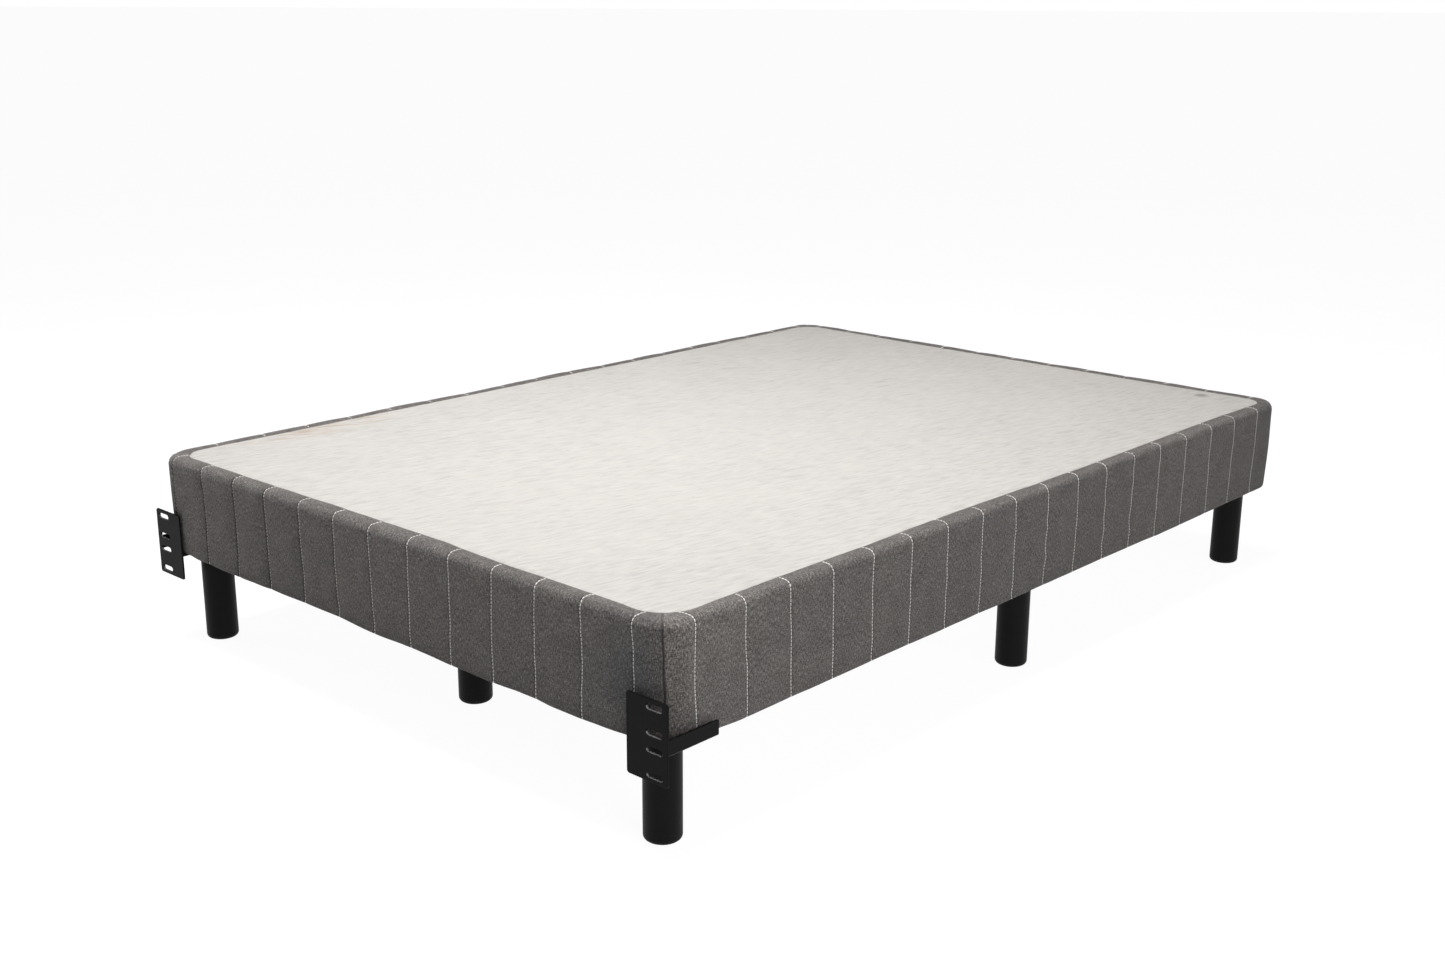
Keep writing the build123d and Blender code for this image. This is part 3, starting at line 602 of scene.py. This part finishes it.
def base_surface(side, a):
    """Positions of the plain cloth, before stripes, folds and padding: shape (stations, rows, 3)."""
    half = SIDES[side][3]
    corner = smoothstep((np.abs(a) - (half - 62 * MM)) / (45 * MM))
    sag_at, sag_by = np.array(SAG[side], float).T
    sag = np.interp(a[:, 0], sag_at * MM, sag_by) * MM
    outer = outline(side, a, 0.0, CORNER_R)
    corner_r = np.where(outer[..., 1] > 0, HEM_FOOT_R, HEM_HEAD_R)
    hem_r = HEM_R + (corner_r - HEM_R) * corner
    rim_inner = inner_outline(side, a, RIM, top_radius(side, a))
    rim_inner = np.stack(settle_rim(rim_inner[..., 0], rim_inner[..., 1]), axis=-1)
    under_inner = inner_outline(side, a, UNDER, UNDER_CORNER_R)
    depth = np.zeros(a.shape)
    z = np.zeros(a.shape)
    for j, (kind, q) in enumerate(ROWS):
        turn = q * math.pi / 2
        if kind == "under":
            depth[:, j] = UNDER + (hem_r[:, j] + TAPER * corner[:, j] - UNDER) * q
            z[:, j] = BASE_Z + (1.0 - 0.6 * q) * MM - sag * q ** 2
        elif kind == "hem":
            depth[:, j] = hem_r[:, j] * (1 - math.sin(turn)) + TAPER * corner[:, j]
            z[:, j] = BASE_Z + 0.4 * MM - sag + hem_r[:, j] * (1 - math.cos(turn))
        elif kind == "face":
            z[:, j] = (BASE_Z + 0.4 * MM - sag + hem_r[:, j]) * (1 - q) + (TOP_Z - EDGE_DOWN) * q
            depth[:, j] = TAPER * corner[:, j] * (1 - q)
        elif kind == "edge":
            depth[:, j] = EDGE_IN * (1 - math.cos(turn))
            z[:, j] = TOP_Z - EDGE_DOWN + EDGE_DOWN * math.sin(turn)
        elif kind == "rim":
            depth[:, j] = EDGE_IN + (RIM - EDGE_IN) * q
            z[:, j] = TOP_Z + 0.5 * MM * math.sin(math.pi * min(q / 0.8, 1.0)) - 1.5 * MM * q ** 6
        else:
            depth[:, j] = RIM + 8 * MM * q
            z[:, j] = TOP_Z - (1.5 + 1.4 * q) * MM
    low = np.isin(KINDS, ("under", "hem"))
    plan_low = outer + (under_inner - outer) * (depth / UNDER)[..., None]
    plan_high = outer + (rim_inner - outer) * (depth / RIM)[..., None]
    plan = np.where(low[:, None], plan_low, plan_high)
    return np.concatenate([plan, z[..., None]], axis=-1)


def square_to_edge(side, mark):
    """Shift along the side, row by row, that keeps a stripe near a corner square to the edge."""
    trial = mark + np.linspace(-45 * MM, 45 * MM, 181)
    grid = np.repeat(trial[:, None], len(ROWS), axis=1)
    travel = np.array(SIDES[side][1])
    along = base_surface(side, grid)[..., :2] @ travel
    shift = np.zeros(len(ROWS))
    for j in np.flatnonzero(np.isin(KINDS, ("edge", "rim", "tuck"))):
        shift[j] = np.interp(mark, along[:, j], trial) - mark
    return shift


def strayed(side, a, rng):
    """The stations of every row, shifted along the side as its stitched lines and seams stray."""
    end, half = side_length(side), SIDES[side][3]
    shift = np.zeros((len(a), len(ROWS)))
    for k, mark in enumerate(np.array(STRIPES[side]) * MM):
        loose = math.exp(-((mark - 0.17) / 0.26) ** 2) if side == "right" else 0.0
        swings = [(29 * MM, 0.25 + 0.9 * loose), (50 * MM, 0.25 + 0.9 * loose)]
        if side in WANDER:
            wander = np.interp(HEIGHT, np.array(WANDER_HEIGHTS) * MM, np.array(WANDER[side][k]) * 0.5 * MM)
        else:
            wander = np.zeros(len(ROWS))
            swings += [(83 * MM, 0.7), (150 * MM, 0.7)]
        for length, size in swings:
            swing = size * MM * rng.normal()
            wander += swing * np.sin(2 * math.pi * HEIGHT / length + rng.uniform(0, 6.28))
        line = wander * np.clip(FACE_WEIGHT * 1.4, 0, 1)
        if abs(mark) > half - ZONE:
            line = line + square_to_edge(side, mark)
        shift += bell(a - mark, 26 * MM)[:, None] * line
    shift *= seam_fade(side, a)[:, None]
    if side in ("head", "right"):
        corner_gap = end - a if side == "head" else end + a
        pull_at, pull_by = np.array(SEAM_PULL).T * MM
        pull = np.interp(HEIGHT, pull_at, pull_by)
        pull += 0.45 * MM * np.sin(HEIGHT / (13 * MM)) * np.clip(FACE_WEIGHT, 0, 1)
        shift -= bell(corner_gap, 16 * MM)[:, None] * pull
    return a[:, None] + shift


def seam_fade(side, a):
    return smoothstep((side_length(side) - np.abs(a)) / (14 * MM))


def quilting(side, a):
    """How strongly the cloth is quilted: the head end only, fading towards its right corner."""
    if side != "head":
        return np.zeros(len(a))
    return smoothstep((0.25 - a) / 0.6) * smoothstep((a + 0.60) / 0.04)


def from_lines(side, a):
    """Signed distance of each station from the nearest stitched line, past it being above nought."""
    gaps = a[:, None] - np.array(STRIPES[side]) * MM
    return gaps[np.arange(len(a)), np.argmin(np.abs(gaps), axis=1)]


def padding(side, number, a, along, up):
    """How far the cloth stands out: swelling between lines, their furrows, seams and loose folds."""
    end = side_length(side)
    edges = np.concatenate([[-end], np.array(STRIPES[side]) * MM, [end]])
    cell = np.clip(np.searchsorted(edges, a, side="right") - 1, 0, len(edges) - 2)
    s = (a - edges[cell]) / (edges[cell + 1] - edges[cell])
    swell = (4 * s * (1 - s)).clip(0, 1)
    if side == "head":
        pad = (1.5 + 2.3 * smoothstep((0.25 - a) / 0.8)) * MM * swell ** 0.55
    else:
        pad = 1.1 * MM * swell ** 0.75
    pad = pad - (0.75 + 0.25 * quilting(side, a)) * MM * bell(from_lines(side, a), 1.7 * MM)
    gap = end - np.abs(a)
    seam = 3.2 * MM * bell(gap, 1.35 * MM) - 0.5 * MM * bell(gap - 4 * MM, 2.2 * MM)
    pad = pad[:, None] * FACE_WEIGHT - seam[:, None] * SEAM_WEIGHT
    body = waves(along, up, 11 + number, 9, 0.30) * 0.6 + waves(along, up, 31 + number, 9, 0.11) * 0.25
    body *= MM
    for y0, z0, tilt, reach, width, tall in FOLDS if side == "right" else ():
        dy, dz = along - y0, up - z0
        lengthwise = dy * math.cos(tilt) + dz * math.sin(tilt)
        across = -dy * math.sin(tilt) + dz * math.cos(tilt)
        body += tall * MM * np.exp(-(lengthwise / reach) ** 2 - (across / width) ** 2)
    return pad + body * (0.25 + 0.75 * FACE_WEIGHT) * seam_fade(side, a)[:, None]


def shading(side, a, along, up):
    """The "marks" of each point, most of it painted shade and light: how dark it is, and how cool a cast it
    takes.
    """
    gap = side_length(side) - np.abs(a)
    signed = from_lines(side, a)
    quilted = quilting(side, a)
    # Painted shade in the furrow at every stitched line; on the quilted head end also a narrow dark band just
    # before each line, with broad painted shade before it and painted light after it.
    quilt_shade = 0.30 * bell(signed, 2.2 * MM)
    quilt_shade += quilted * 0.30 * bell(signed + 2.6 * MM, 2.0 * MM)
    quilt_shade += quilted * (0.20 * bell(signed + 10 * MM, 13 * MM) - 0.12 * bell(signed - 18 * MM, 14 * MM))
    dark = quilt_shade[:, None] * np.clip(0.25 + FACE_WEIGHT, 0, 1)
    # Painted shade in the groove of each corner seam.
    dark += bell(gap, 2.0 * MM)[:, None] * np.clip(0.45 + FACE_WEIGHT, 0, 0.8)
    # Painted shade and light: darker towards the hem, lighter towards the top edge, and lighter and darker
    # stretches along the side.
    height = np.maximum(up - 12 * MM, 0.0)
    dark += HEM_SHADE[side] * np.exp(-height / (20 * MM))
    dark += 0.07 * (1 - smoothstep((height - 100 * MM) / (65 * MM)))
    # Painted light and shade along the side, from the table above.
    if side in PAINTED_LIGHT_AND_SHADE:
        dark += np.interp(along, *np.array(PAINTED_LIGHT_AND_SHADE[side]).T)
    cool = 0.10 * smoothstep(0.5 + 0.5 * waves(along, up, 57, 8, 0.30))
    # Patches of painted shade with a cool cast; the waves above are a random cool tone.
    for a0, z0, half_a, half_z, depth in COOL_SHADE_PATCHES.get(side, ()):
        cool += depth * np.exp(-((along - a0) / half_a) ** 2 - ((up - z0) / half_z) ** 2)
    return np.clip(np.stack([NEUTRAL + (1 - NEUTRAL) * dark, cool], axis=-1), 0.0, 1.0)


def band_mesh(outer, inner, layers):
    """A closed band from its outer and inner surfaces. Each layer is its UVs here and one column ahead."""
    n_cols, n_rows = outer.shape[:2]
    offset = n_cols * n_rows
    faces = []
    loops = {name: [] for name in layers}
    for i in range(n_cols):
        i2 = (i + 1) % n_cols
        for j in range(n_rows - 1):
            p, q = i * n_rows + j, i2 * n_rows + j
            faces.append((p, q, q + 1, p + 1))
            faces.append((offset + p, offset + p + 1, offset + q + 1, offset + q))
            for name, (here, ahead) in layers.items():
                quad = (here[i, j], ahead[i, j], ahead[i, j + 1], here[i, j + 1])
                loops[name] += [*quad, quad[0], quad[3], quad[2], quad[1]]
        p, q = i * n_rows, i2 * n_rows
        faces.append((p, offset + p, offset + q, q))
        p, q = p + n_rows - 1, q + n_rows - 1
        faces.append((p, q, offset + q, offset + p))
        for name, (here, ahead) in layers.items():
            loops[name] += [here[i, 0], here[i, 0], ahead[i, 0], ahead[i, 0]]
            loops[name] += [here[i, -1], ahead[i, -1], ahead[i, -1], here[i, -1]]
    vertices = np.concatenate([outer.reshape(-1, 3), inner.reshape(-1, 3)])
    band = make_object("border_cloth", vertices, faces, border_material())
    for name, pairs in loops.items():
        layer = band.data.uv_layers.new(name=name)
        layer.data.foreach_set("uv", np.array(pairs, float).ravel())
    return band


def build_border():
    rng = np.random.default_rng(7)
    blocks, pads, stripe_cols, uvs, shades = [], [], [], [], []
    column, run = 0, 0.0
    for number, side in enumerate(SIDES, 1):
        a = stations(side)
        end = side_length(side)
        along = a[:, None] + 0 * ROW_LEN
        up = ROW_LEN + 0 * a[:, None]
        blocks.append(base_surface(side, strayed(side, a, rng)))
        pads.append(padding(side, number, a, along, up))
        shades.append(shading(side, a, along, up))
        uvs.append(np.stack([run + end + along, up], axis=-1))
        for mark in np.array(STRIPES[side]) * MM:
            stripe_cols.append((side, column + int(np.argmin(np.abs(a - mark)))))
        run += 2 * end
        column += len(a)
    base, pad, uv, shade = (np.concatenate(part) for part in (blocks, pads, uvs, shades))
    # The outward normal of the plain cloth, the band being closed along its length.
    along = np.roll(base, -1, axis=0) - np.roll(base, 1, axis=0)
    normal = np.cross(along, np.gradient(base, axis=1))
    normal /= np.linalg.norm(normal, axis=-1, keepdims=True)
    outer = base + normal * pad[..., None]
    # The hem stays above the flat flange of each bracket.
    over_bracket = (outer[..., 1] < BRACKET_Y) & (np.abs(outer[..., 0]) > BRACKET_X)
    floor_z = np.where(over_bracket, BASE_Z + 0.1 * MM, BASE_Z - 6 * MM)
    outer[..., 2] = np.maximum(outer[..., 2], floor_z)
    uv_ahead = np.roll(uv, -1, axis=0)
    uv_ahead[-1, :, 0] = run
    layers = {"cloth": (uv, uv_ahead), "marks": (shade, np.roll(shade, -1, axis=0))}
    cloth = band_mesh(outer, base - normal * THICKNESS[:, None], layers)
    return cloth, outer, normal, stripe_cols


def build_stitches(outer, normal, stripe_cols):
    """One short raised stitch after another along every stripe, sunk into the cloth at its ends."""
    material = thread_material()
    first = int(np.argmax(KINDS == "hem")) + 2
    last = int(np.argmax(KINDS == "tuck"))
    length, gap = 5.2 * MM, 0.7 * MM
    half_width, half_height = 0.72 * MM, 0.6 * MM
    rings = np.array([-1.0, -0.72, 0.0, 0.72, 1.0])
    girth = np.array([0.35, 0.9, 1.0, 0.9, 0.35])
    rise = np.array([-0.35, 0.15, 0.35, 0.15, -0.35]) * MM
    sides = 8
    spin = np.arange(sides) * 2 * math.pi / sides
    made = {}
    for side, col in stripe_cols:
        path = outer[col, first:last]
        norm = normal[col, first:last]
        reach = np.concatenate([[0], np.cumsum(np.linalg.norm(np.diff(path, axis=0), axis=1))])
        count = int(reach[-1] // (length + gap))
        starts = np.arange(count) * (length + gap) + 0.5 * gap
        broad = half_width * (1.0 + 0.25 * smoothstep((reach - 150 * MM) / (30 * MM)))
        verts, faces = made.setdefault(side, ([], []))
        for start in starts:
            at = start + length * (rings + 1) / 2
            centre, up = [np.stack([np.interp(at, reach, line[:, k]) for k in range(3)], axis=-1)
                          for line in (path, norm)]
            up /= np.linalg.norm(up, axis=1, keepdims=True)
            along = centre[-1] - centre[0]
            along /= np.linalg.norm(along)
            across = np.cross(along, up)
            centre = centre + up * rise[:, None]
            base = len(verts)
            width = np.interp(at, reach, broad)
            for r in range(len(rings)):
                ring = (centre[r] + across[r] * width[r] * girth[r] * np.cos(spin)[:, None]
                        + up[r] * half_height * girth[r] * np.sin(spin)[:, None])
                verts.extend(map(tuple, ring))
            faces += tube_faces(base, len(rings), sides)
    return [make_object(f"stitches_{side}", *mesh, material) for side, mesh in made.items()]


border, border_outer, border_normal, stripes = build_border()
stitches = build_stitches(border_outer, border_normal, stripes)

# --- Top cloth: one sheet inside the rim, with rounded corners and fine lengthwise crinkles ---


def build_top():
    half_w, half_l = HALF_W - RIM, HALF_L - RIM
    bend = np.linspace(0, math.pi / 2, 21)[1:]
    widest = max(TOP_CORNER_R.values())
    straight = half_l - widest
    mid = np.linspace(-straight, straight, 300)
    y_end = straight + widest * np.sin(bend)
    ys = np.concatenate([-y_end[::-1], mid, y_end])
    reach = {}
    for sign in (-1, 1):
        radius = np.where(ys > 0, TOP_CORNER_R[(sign, 1)], TOP_CORNER_R[(sign, -1)])
        over = np.clip(np.abs(ys) - (half_l - radius), 0.0, radius)
        reach[sign] = half_w - radius + np.sqrt(radius ** 2 - over ** 2)
    near_edge = np.array([0.0022, 0.0045])
    u = np.sort(np.concatenate([np.linspace(-1, 1, 268), 1 - near_edge, near_edge - 1]))
    x = np.where(u > 0, reach[1][:, None], reach[-1][:, None]) * u[None, :]
    y = ys[:, None] + 0 * u[None, :]
    # Distance in from the sheet's edge.
    foot_r, head_r = [np.where(x > 0, TOP_CORNER_R[(1, end)], TOP_CORNER_R[(-1, end)]) for end in (1, -1)]
    corner_r = np.where(y > 0, foot_r, head_r)
    qx = np.abs(x) - (half_w - corner_r)
    qy = np.abs(y) - (half_l - corner_r)
    outside = np.hypot(np.maximum(qx, 0), np.maximum(qy, 0)) + np.minimum(np.maximum(qx, qy), 0)
    inside = np.maximum(corner_r - outside, 0.0)
    edge = smoothstep(inside / (7 * MM))
    crease = waves(x * 4.5, y * 0.75, 3, 16, 0.075, 0.6) * 0.16
    crease += waves(x * 2.0, y * 0.6, 5, 14, 0.16, 0.6) * 0.22
    broad = waves(x, y, 9, 10, 0.55) * 0.45
    patch = smoothstep(0.5 + 0.6 * waves(x, y, 15, 8, 0.35))
    z = TOP_Z + (crease * (0.5 + 0.9 * patch) + broad - 0.3) * MM * edge - 1.2 * MM * (1 - edge)
    rows, cols = x.shape
    x, y = settle_rim(x, y)
    top = np.stack([x, y, z], axis=-1).reshape(-1, 3)
    starts = [i * cols + j for i in range(rows - 1) for j in range(cols - 1)]
    faces = [(p, p + 1, p + 1 + cols, p + cols) for p in starts]
    return closed_sheet("top_sheet", top, top - np.array([0, 0, 1.3 * MM]), faces, top_material())


top_sheet = build_top()

# --- Felt pad under the top cloth ---


def rounded_loop(half_x, half_y, radius, steps=8, gap=0.05):
    """A closed loop of plan points round a rounded rectangle, anticlockwise."""
    points = []
    for sx, sy, start in ((1, -1, -90), (1, 1, 0), (-1, 1, 90), (-1, -1, 180)):
        for k in range(steps + 1):
            angle = math.radians(start + 90 * k / steps)
            x = sx * (half_x - radius) + radius * math.cos(angle)
            points.append((x, sy * (half_y - radius) + radius * math.sin(angle)))
    full = []
    for p, q in zip(points, points[1:] + points[:1]):
        count = max(1, int(math.hypot(q[0] - p[0], q[1] - p[1]) / gap))
        full += [(p[0] + (q[0] - p[0]) * k / count, p[1] + (q[1] - p[1]) * k / count) for k in range(count)]
    return full


def sheet_with_holes(name, loop, corner, holes, spacing, height, thickness, material):
    """A thin closed sheet over a plan loop, with round holes, at z = height(x, y)."""
    points = [Vector(p) for p in loop]
    edges = [(i, (i + 1) % len(loop)) for i in range(len(loop))]
    for cx, cy, r in holes:
        start = len(points)
        ring = 20
        turns = [2 * math.pi * k / ring for k in range(ring)]
        points += [Vector((cx + r * math.cos(turn), cy + r * math.sin(turn))) for turn in turns]
        edges += [(start + k, start + (k + 1) % ring) for k in range(ring)]
    xs = [p[0] for p in loop]
    ys = [p[1] for p in loop]
    for x in np.arange(min(xs) + spacing, max(xs) - spacing / 2, spacing):
        for y in np.arange(min(ys) + spacing, max(ys) - spacing / 2, spacing):
            if abs(x) > max(xs) - corner and abs(y) > max(ys) - corner:
                if math.hypot(abs(x) - max(xs) + corner, abs(y) - max(ys) + corner) > corner - 5 * MM:
                    continue
            if all(math.hypot(x - cx, y - cy) > r + spacing / 3 for cx, cy, r in holes):
                points.append(Vector((x, y)))
    verts, _, faces, *_ = delaunay_2d_cdt(points, edges, [], 0, 1e-6)
    kept = []
    for face in faces:
        cx = sum(verts[i].x for i in face) / len(face)
        cy = sum(verts[i].y for i in face) / len(face)
        if all(math.hypot(cx - hx, cy - hy) > r for hx, hy, r in holes):
            kept.append(tuple(face))
    used = sorted({i for face in kept for i in face})
    index = {old: new for new, old in enumerate(used)}
    kept = [tuple(index[i] for i in reversed(face)) for face in kept]
    flat = np.array([(verts[i].x, verts[i].y) for i in used])
    z = height(flat[:, 0], flat[:, 1])
    lower = np.column_stack([flat, z])
    return closed_sheet(name, lower, lower + np.array([0, 0, thickness]), kept, material)


FELT_INSET = 15 * MM  # the pad stops short of the rounded edge
FELT_R = 48 * MM
FELT_CLEAR = 1.2 * MM  # left free under the top cloth
felt_lo, felt_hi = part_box("felt_pad")
felt = sheet_with_holes(
    "felt_layer", rounded_loop(HALF_W - FELT_INSET, HALF_L - FELT_INSET, FELT_R), FELT_R, [], 0.06,
    lambda x, y: np.full(x.shape, float(felt_lo[2])), float(felt_hi[2] - felt_lo[2]) - FELT_CLEAR,
    felt_material())

# --- Dust cover, with its staples, under the base ---
COVER_INSET = 24 * MM
COVER_R = 40 * MM
STUD_HOLE_R, BOLT_HOLE_R = 8 * MM, 7 * MM
BOLT_HEAD_R = 7.5 * MM
cover_x, cover_y = HALF_W - COVER_INSET, HALF_L - COVER_INSET
cover_holes = []
for name in sorted(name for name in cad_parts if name.startswith("leg_stud_")):
    stud = np.mean(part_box(name), axis=0)
    cover_holes.append((float(stud[0]), float(stud[1]), STUD_HOLE_R))
bolt_lo, bolt_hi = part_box("bracket_bolts")
for sign in (-1, 1):
    bolt_x, bolt_y = sign * (bolt_hi[0] - BOLT_HEAD_R), (bolt_lo[1] + bolt_hi[1]) / 2
    cover_holes.append((float(bolt_x), float(bolt_y), BOLT_HOLE_R))


STAPLE_IN = 9 * MM  # from the cover's edge
ARM_X, ARM_Y = 0.58, -0.84  # no staples past these, over a bracket's arm


def cover_height(x, y):
    sag = (waves(x, y, 21, 12, 0.16) * 0.10 + waves(x * 1.5, y, 22, 10, 0.40) * 0.12 + 0.35) * MM
    return BASE_Z + np.clip(sag, 0.0, 1.0 * MM)


dust = sheet_with_holes(
    "dust_sheet", rounded_loop(cover_x, cover_y, COVER_R), COVER_R, cover_holes, 0.014, cover_height,
    0.5 * MM, dust_material())


def build_staples():
    """Wire staples round the edge of the dust cover, crowns just below the cloth."""
    rng = np.random.default_rng(5)
    path = np.array(rounded_loop(cover_x - STAPLE_IN, cover_y - STAPLE_IN, COVER_R - STAPLE_IN, 6, 0.001))
    closed = np.vstack([path, path[:1]])
    reach = np.concatenate([[0], np.cumsum(np.linalg.norm(np.diff(closed, axis=0), axis=1))])
    wire, half_crown, leg, bend, sides = 0.55 * MM, 5.5 * MM, 2.5 * MM, 0.9 * MM, 6
    profile = [(-half_crown, leg), (-half_crown, bend), (-half_crown + bend, 0.0),
               (half_crown - bend, 0.0), (half_crown, bend), (half_crown, leg)]
    verts, faces = [], []
    spot = 20 * MM
    while spot < reach[-1] - 20 * MM:
        centre, ahead = [
            np.array([np.interp(at, reach, closed[:, k]) for k in range(2)]) for at in (spot, spot + 1 * MM)]
        t = (ahead - centre) / np.linalg.norm(ahead - centre)
        skew = rng.normal() * 0.22
        cos, sin = math.cos(skew), math.sin(skew)
        t = np.array([t[0] * cos - t[1] * sin, t[0] * sin + t[1] * cos])
        s = np.array([-t[1], t[0]])
        spot += (62 + rng.uniform(-7, 7)) * MM
        if abs(centre[0]) > ARM_X and centre[1] < ARM_Y:
            continue
        base = len(verts)
        for k, (along, rise) in enumerate(profile):
            d = np.subtract(profile[min(k + 1, len(profile) - 1)], profile[max(k - 1, 0)])
            d = d / np.linalg.norm(d)
            for a in range(sides):
                angle = a * 2 * math.pi / sides
                off_s, off_n = wire * math.cos(angle), wire * math.sin(angle)
                p = centre + t * (along - d[1] * off_n) + s * off_s
                verts.append((p[0], p[1], BASE_Z - 0.35 * MM + rise + d[0] * off_n))
        faces += tube_faces(base, len(profile), sides)
    return make_object("cover_staples", verts, faces, zinc("staple_wire"))


staples = build_staples()

# --- Finishes of the CAD nodes that stay ---
GRAIN_X = ("top_slats", "bottom_end_board", "end_board", "cross_braces", "leg_blocks")
GRAIN_Y = ("bottom_side_board", "bottom_centre_board", "side_board", "centre_joists")
FINISHES = [  # by the start of the node's name; the rest is zinc plated
    ("leg_shell_", black_plastic()),
    ("headboard_plate_", powder_coat("plate_powder_coat", SLOT_HEIGHTS)),
    ("bracket_arm_", powder_coat("bracket_powder_coat")),
    ("leg_glide_", rubber()),
    ("leg_stud_", zinc("stud_thread", 1.5 * MM)),
    ("deck_board", fibreboard()),
    (GRAIN_X, timber("timber_grain_x", "X")),
    (GRAIN_Y, timber("timber_grain_y", "Y")),
    ("corner_posts", timber("timber_grain_z", "Z")),
    ("", zinc("zinc_plate")),
]
REPLACED = ("border_", "top_cloth", "felt_pad", "dust_cover")
for name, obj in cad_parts.items():
    if name.startswith(REPLACED):
        continue
    material = next(finish for start, finish in FINISHES if name.startswith(start))
    if not obj.data.materials:
        obj.data.materials.append(material)
    for slot in obj.material_slots:
        slot.material = material

# --- What moves with what; the CAD nodes that the soft pieces replace are hidden ---
for piece in (border, *stitches, top_sheet, felt, dust, staples):
    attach(piece, "foundation")
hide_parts("border_left", "border_right", "border_head", "border_foot")
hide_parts("top_cloth")
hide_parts("felt_pad")
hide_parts("dust_cover")

# --- Floor, light and camera ---


def build_floor():
    s = Shader("studio_floor", specular=0.0, Emission_Strength=0.96)
    tone = s.noise(s.coords(), 1.3, 2.0)
    colour = s.ramp(tone, [(0.3, (0.098, 0.098, 0.098)), (0.7, (0.102, 0.102, 0.102))])
    far = 1000.0
    corners = [(-far, -far, 0), (far, -far, 0), (far, far, 0), (-far, far, 0)]
    floor = make_object("studio_floor", corners, [(0, 1, 2, 3)], s.done(colour, 0.9))


def area_light(name, place, target, size, power):
    data = bpy.data.lights.new(name, "AREA")
    data.shape = "RECTANGLE"
    data.size, data.size_y = size
    data.energy = power
    obj = bpy.data.objects.new(name, data)
    obj.location = place
    obj.rotation_euler = (Vector(target) - Vector(place)).to_track_quat("-Z", "Y").to_euler()
    bpy.context.scene.collection.objects.link(obj)


build_floor()
area_light("key_overhead", (-0.06, -0.48, 2.9), (-0.05, -0.38, 0.3), (1.9, 1.9), 188)
area_light("fill_right", (4.2, -0.5, 1.8), (0.3, 0.1, 0.3), (2.2, 1.8), 32)
area_light("near_side", (2.2, -1.45, 0.95), (0.67, -0.95, 0.27), (0.6, 0.5), 14)
area_light("rake_head", (-3.4, -2.1, 1.2), (-0.4, -0.95, 0.25), (1.0, 0.8), 12)

world = bpy.data.worlds.new("studio")
bpy.context.scene.world = world
world.use_nodes = True

# White at the horizon, where it meets the floor, and dimmer overhead.
sky, links = world.node_tree.nodes, world.node_tree.links
direction, split, rise = [sky.new(f"ShaderNode{kind}") for kind in ("TexCoord", "SeparateXYZ", "MapRange")]
links.new(direction.outputs["Generated"], split.inputs[0])
links.new(split.outputs["Z"], rise.inputs["Value"])
for socket, value in (("From Min", 0.02), ("From Max", 0.09), ("To Min", 1.0), ("To Max", 0.05)):
    rise.inputs[socket].default_value = value
links.new(rise.outputs[0], sky["Background"].inputs["Strength"])
sky["Background"].inputs["Color"].default_value = (1.0, 1.0, 1.0, 1.0)
bpy.context.scene.view_settings.view_transform = "Standard"


def build_camera():
    """At the photographed angle: turned to the left, tipped down and a little rolled."""
    data = bpy.data.cameras.new("camera")
    data.lens = 41.58
    data.clip_end = 2000.0
    camera = bpy.data.objects.new("camera", data)
    turn = Matrix()
    for degrees, axis in ((42.66, "Z"), (90 - 15.84, "X"), (0.26, "Z")):
        turn = turn @ Matrix.Rotation(math.radians(degrees), 4, axis)
    camera.matrix_world = Matrix.Translation((2.1831, -2.4772, 1.1855)) @ turn
    bpy.context.scene.collection.objects.link(camera)
    bpy.context.scene.camera = camera


build_camera()
